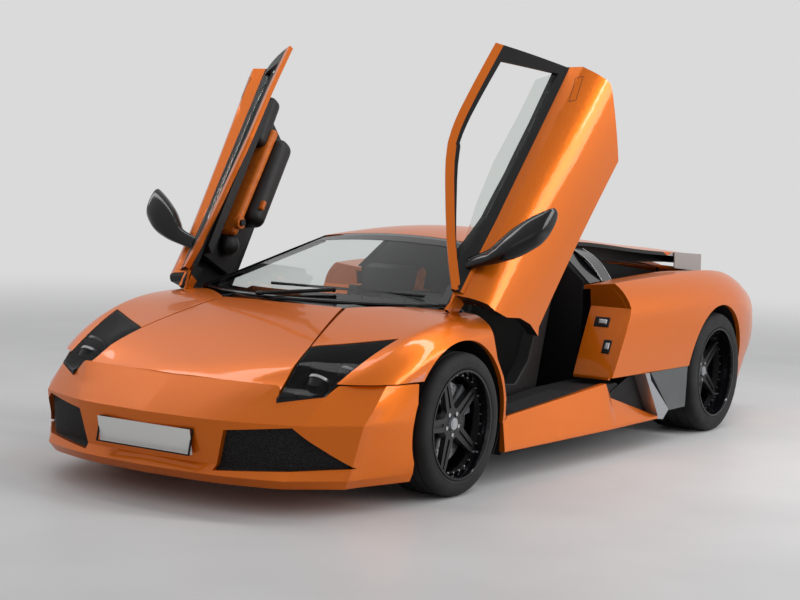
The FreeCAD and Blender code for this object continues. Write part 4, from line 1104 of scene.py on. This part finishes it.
def round_nose(bm):
    """Rounds the upright corners of the nose in plan; the rounding fades out below the lamps."""
    for k in range(NOSE_SLICES):
        x = NOSE_SLICE_X[0] + NOSE_SLICE_X[1] * k
        y = NOSE_SLICE_Y[0] + NOSE_SLICE_Y[1] * k
        slice_all(bm, (x, 0, 0), (1, 0, 0))
        slice_all(bm, (0, y, 0), (0, 1, 0))
        slice_all(bm, (-x, 0, 0), (1, 0, 0))
    for z in NOSE_SLICE_Z:
        slice_all(bm, (0, 0, z), (0, 0, 1))
    for vert in bm.verts:
        fade = min(1.0, max(0.0, (NOSE_FADE[0] - vert.co.z) / NOSE_FADE[1]))
        here = Vector((abs(vert.co.x), vert.co.y))
        corners = nose_corners(vert.co.z)
        shift = Vector((0, 0))
        for before, corner, after, reach in zip(corners, corners[1:], corners[2:], NOSE_CURVES):
            into, away = (corner - before).normalized(), (after - corner).normalized()
            split = (into + away).normalized()
            along = (here - corner).dot(split)
            if abs(along) < reach and (here - corner).length < reach + NOSE_REACH:
                part = 0.5 + 0.5 * along / reach
                start, end = corner - into * reach, corner + away * reach
                curve = start * (1 - part) ** 2 + corner * 2 * part * (1 - part) + end * part ** 2
                straight = corner + (away if along > 0 else into) * along
                shift += curve - straight
        vert.co.x += math.copysign(shift.x, vert.co.x) * fade
        vert.co.y += shift.y * fade
    bm.normal_update()


def dress_nose():
    for node, finish in (("front_bumper", "orange"), ("intake_grilles", "mesh")):
        bm = merged_copy(node)
        round_nose(bm)
        piece = finish_piece(bm, node + "_piece", "chassis", [finish])
        if finish == "orange":
            round_edges(piece, PANEL_EDGE)
        even_shading(piece)
        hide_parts(node)


def add_plate_frame():
    """Dark rim round the blank number plate."""
    low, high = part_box("number_plate")
    middle = Vector(((low[0] + high[0]) / 2, *PLATE_MIDDLE))
    lean = Matrix.Translation(middle) @ turn(PLATE_LEAN, "X")
    half_wide, half_tall = PLATE_RIM
    bm = bmesh.new()
    for z in (-half_tall, half_tall):
        add_cushion(bm, (0.524, RIM_DEPTH, RIM_BAR), RIM_ROUNDING, lean @ at(0, 0, z))
    for x in (-half_wide, half_wide):
        add_cushion(bm, (RIM_BAR, RIM_DEPTH, 0.110), RIM_ROUNDING, lean @ at(x, 0, 0))
    finish_piece(bm, "plate_rim", "chassis", ["moulded"], crease=SOFT_CREASE_DEG)


def add_jamb_fittings():
    """Striker box and latch on each door jamb."""
    for side, sign in SIDES:
        bm = bmesh.new()
        for x, y, z, wide, tall in JAMB_FITTINGS:
            place = at(x, y, z) @ turn(JAMB_LEAN, "X")
            add_cushion(bm, (wide, 0.010, tall), 0.004, place)
            add_cushion(bm, (wide * 0.55, 0.016, tall * 0.5), 0.005, place @ at(wide * 0.08, -0.003, 0), 1)
        mirror_to(bm, sign)
        finish_piece(bm, "striker_" + side, "chassis", ["satin", "steel"],
                     crease=SOFT_CREASE_DEG)


def add_sill_treads():
    """Ribbed tread strip and seal along each sill."""
    front, rear = TREAD_ENDS
    for side, sign in SIDES:
        bm = bmesh.new()
        for k in range(TREAD_RIBS):
            x = TREAD_X[0] + TREAD_X[1] * k
            add_rod(bm, (x, *front), (x, *rear), TREAD_RIB, sides=8)
        for start, end in zip(SILL_SEAL, SILL_SEAL[1:]):
            add_rod(bm, start, end, SEAL_RADIUS, index=1)
        mirror_to(bm, sign)
        finish_piece(bm, "sill_tread_" + side, "chassis", ["moulded", "satin"])


# Roof, flaps, buttress panels and seats
def roof_part(face):
    """Black pillars in front of the header and black undersides, the rest in paint."""
    return 1 if face.calc_center_median().y < HEADER_Y or face.normal.z < -0.3 else 0


def flap_part(face):
    """Painted top, grey plates at the outer rear, black inner edge."""
    centre = face.calc_center_median()
    if centre.y > FLAP_MOUTH[0] and abs(centre.x) > FLAP_MOUTH[1] and face.normal.z < 0.6:
        return 1
    return 2 if face.normal.z < 0.4 and abs(centre.x) < FLAP_MOUTH[1] else 0


def seat_part(face):
    """Orange bolsters at the upper sides of each backrest."""
    centre = face.calc_center_median()
    off_middle = abs(abs(centre.x) - SEAT_X)
    return 1 if off_middle > BOLSTER_FROM and centre.z > BOLSTER_Z and face.normal.y < 0.3 else 0


def dress_flaps():
    """Raised side flaps, each with a black wall down to the deck at its inner edge and at its rear."""
    for side, sign in SIDES:
        name = "flap_" + side
        dress(name, ["orange", "grey_plate", "gloss"], flap_part)
        bm = bmesh.new()
        bm.faces.new([bm.verts.new((FLAP_WALL_X, y, z)) for y, z in FLAP_WALL])
        thicken(bm, (FLAP_WALL_THICK, 0, 0))
        add_block(bm, FLAP_END[0], at(*FLAP_END[1]))
        mirror_to(bm, sign)
        finish_piece(bm, name + "_wall", name, ["satin"])


def sail_point(line, share):
    """Place on the panel beside the buttress, at a share of the way up its front or rear line."""
    foot, top = line
    bulge = Vector((0.35, 0, 0.65)) * SAIL_BULGE * math.sin(math.pi * share)
    return Vector(foot).lerp(Vector(top), share) + bulge


def add_sails():
    """Black panel beside each buttress, between two bright beads."""
    for side, sign in SIDES:
        bm = bmesh.new()
        bmesh.ops.create_grid(bm, x_segments=1, y_segments=SAIL_STEPS, size=0.5)
        for vert in bm.verts:
            vert.co = sail_point(SAIL_FRONT if vert.co.x < 0 else SAIL_REAR, vert.co.y + 0.5)
        thicken(bm, SAIL_THICK)
        for line in (SAIL_FRONT, SAIL_REAR):
            points = [sail_point(line, k / SAIL_STEPS) for k in range(SAIL_STEPS + 1)]
            for start, end in zip(points, points[1:]):
                add_rod(bm, start, end, SAIL_BEAD, index=1, sides=8)
        mirror_to(bm, sign)
        finish_piece(bm, "sail_" + side, "chassis", ["gloss", "steel"])


ORANGE_PANELS = ("front_fenders", "hood", "quarter_panels", "side_skirts", "rear_bumper", "door_jambs",
                 "spoiler", "engine_cover")
PLAIN_SOLIDS = ("rear_grille", "diffuser", "headlamps", "floor_tub", "front_frame", "rear_frame")
OTHER_FINISHES = (
    ("quarter_glass", "gloss"), ("side_ducts", "satin"), ("cowl", "gloss"),
    ("headlamp_lenses", "smoked"), ("tail_lamps", "red"), ("number_plate", "white"),
    ("exhaust", "steel"), ("engine", "cast"), ("knuckle_fl", "silver"), ("knuckle_fr", "silver"),
    ("hub_carriers_rear", "silver"), ("suspension_arms", "cast"), ("intake_blades", "silver"),
    ("quarter_lower", "grey"), ("dashboard", "leather"), ("steering_wheel", "leather"),
)


def assemble():
    mix_finishes()
    dress_nose()
    dress("roof_frame", ["orange", "gloss"], roof_part)
    dress("seats", ["leather", "orange_leather"], seat_part, edge=SEAT_EDGE)
    dress_flaps()
    for node in ORANGE_PANELS:
        dress(node, ["orange"])
    for node, finish in OTHER_FINISHES:
        dress(node, [finish])
    for node in PLAIN_SOLIDS:
        paint(node, "moulded")
    for side in ("left", "right"):
        dress_door(side)
    dress_windscreen()
    add_wiper()
    for corner, spec, axle in (("fl", FRONT_WHEEL, FRONT_AXLE), ("fr", FRONT_WHEEL, FRONT_AXLE),
                               ("rl", REAR_WHEEL, REAR_AXLE), ("rr", REAR_WHEEL, REAR_AXLE)):
        dress_wheel(corner, spec, axle)
    add_projectors()
    add_markers()
    add_plate_frame()
    add_jamb_fittings()
    add_sails()
    add_sill_treads()


bpy.context.scene.view_settings.view_transform = "Standard"
aim_camera()
light_studio()
lay_floor()
assemble()
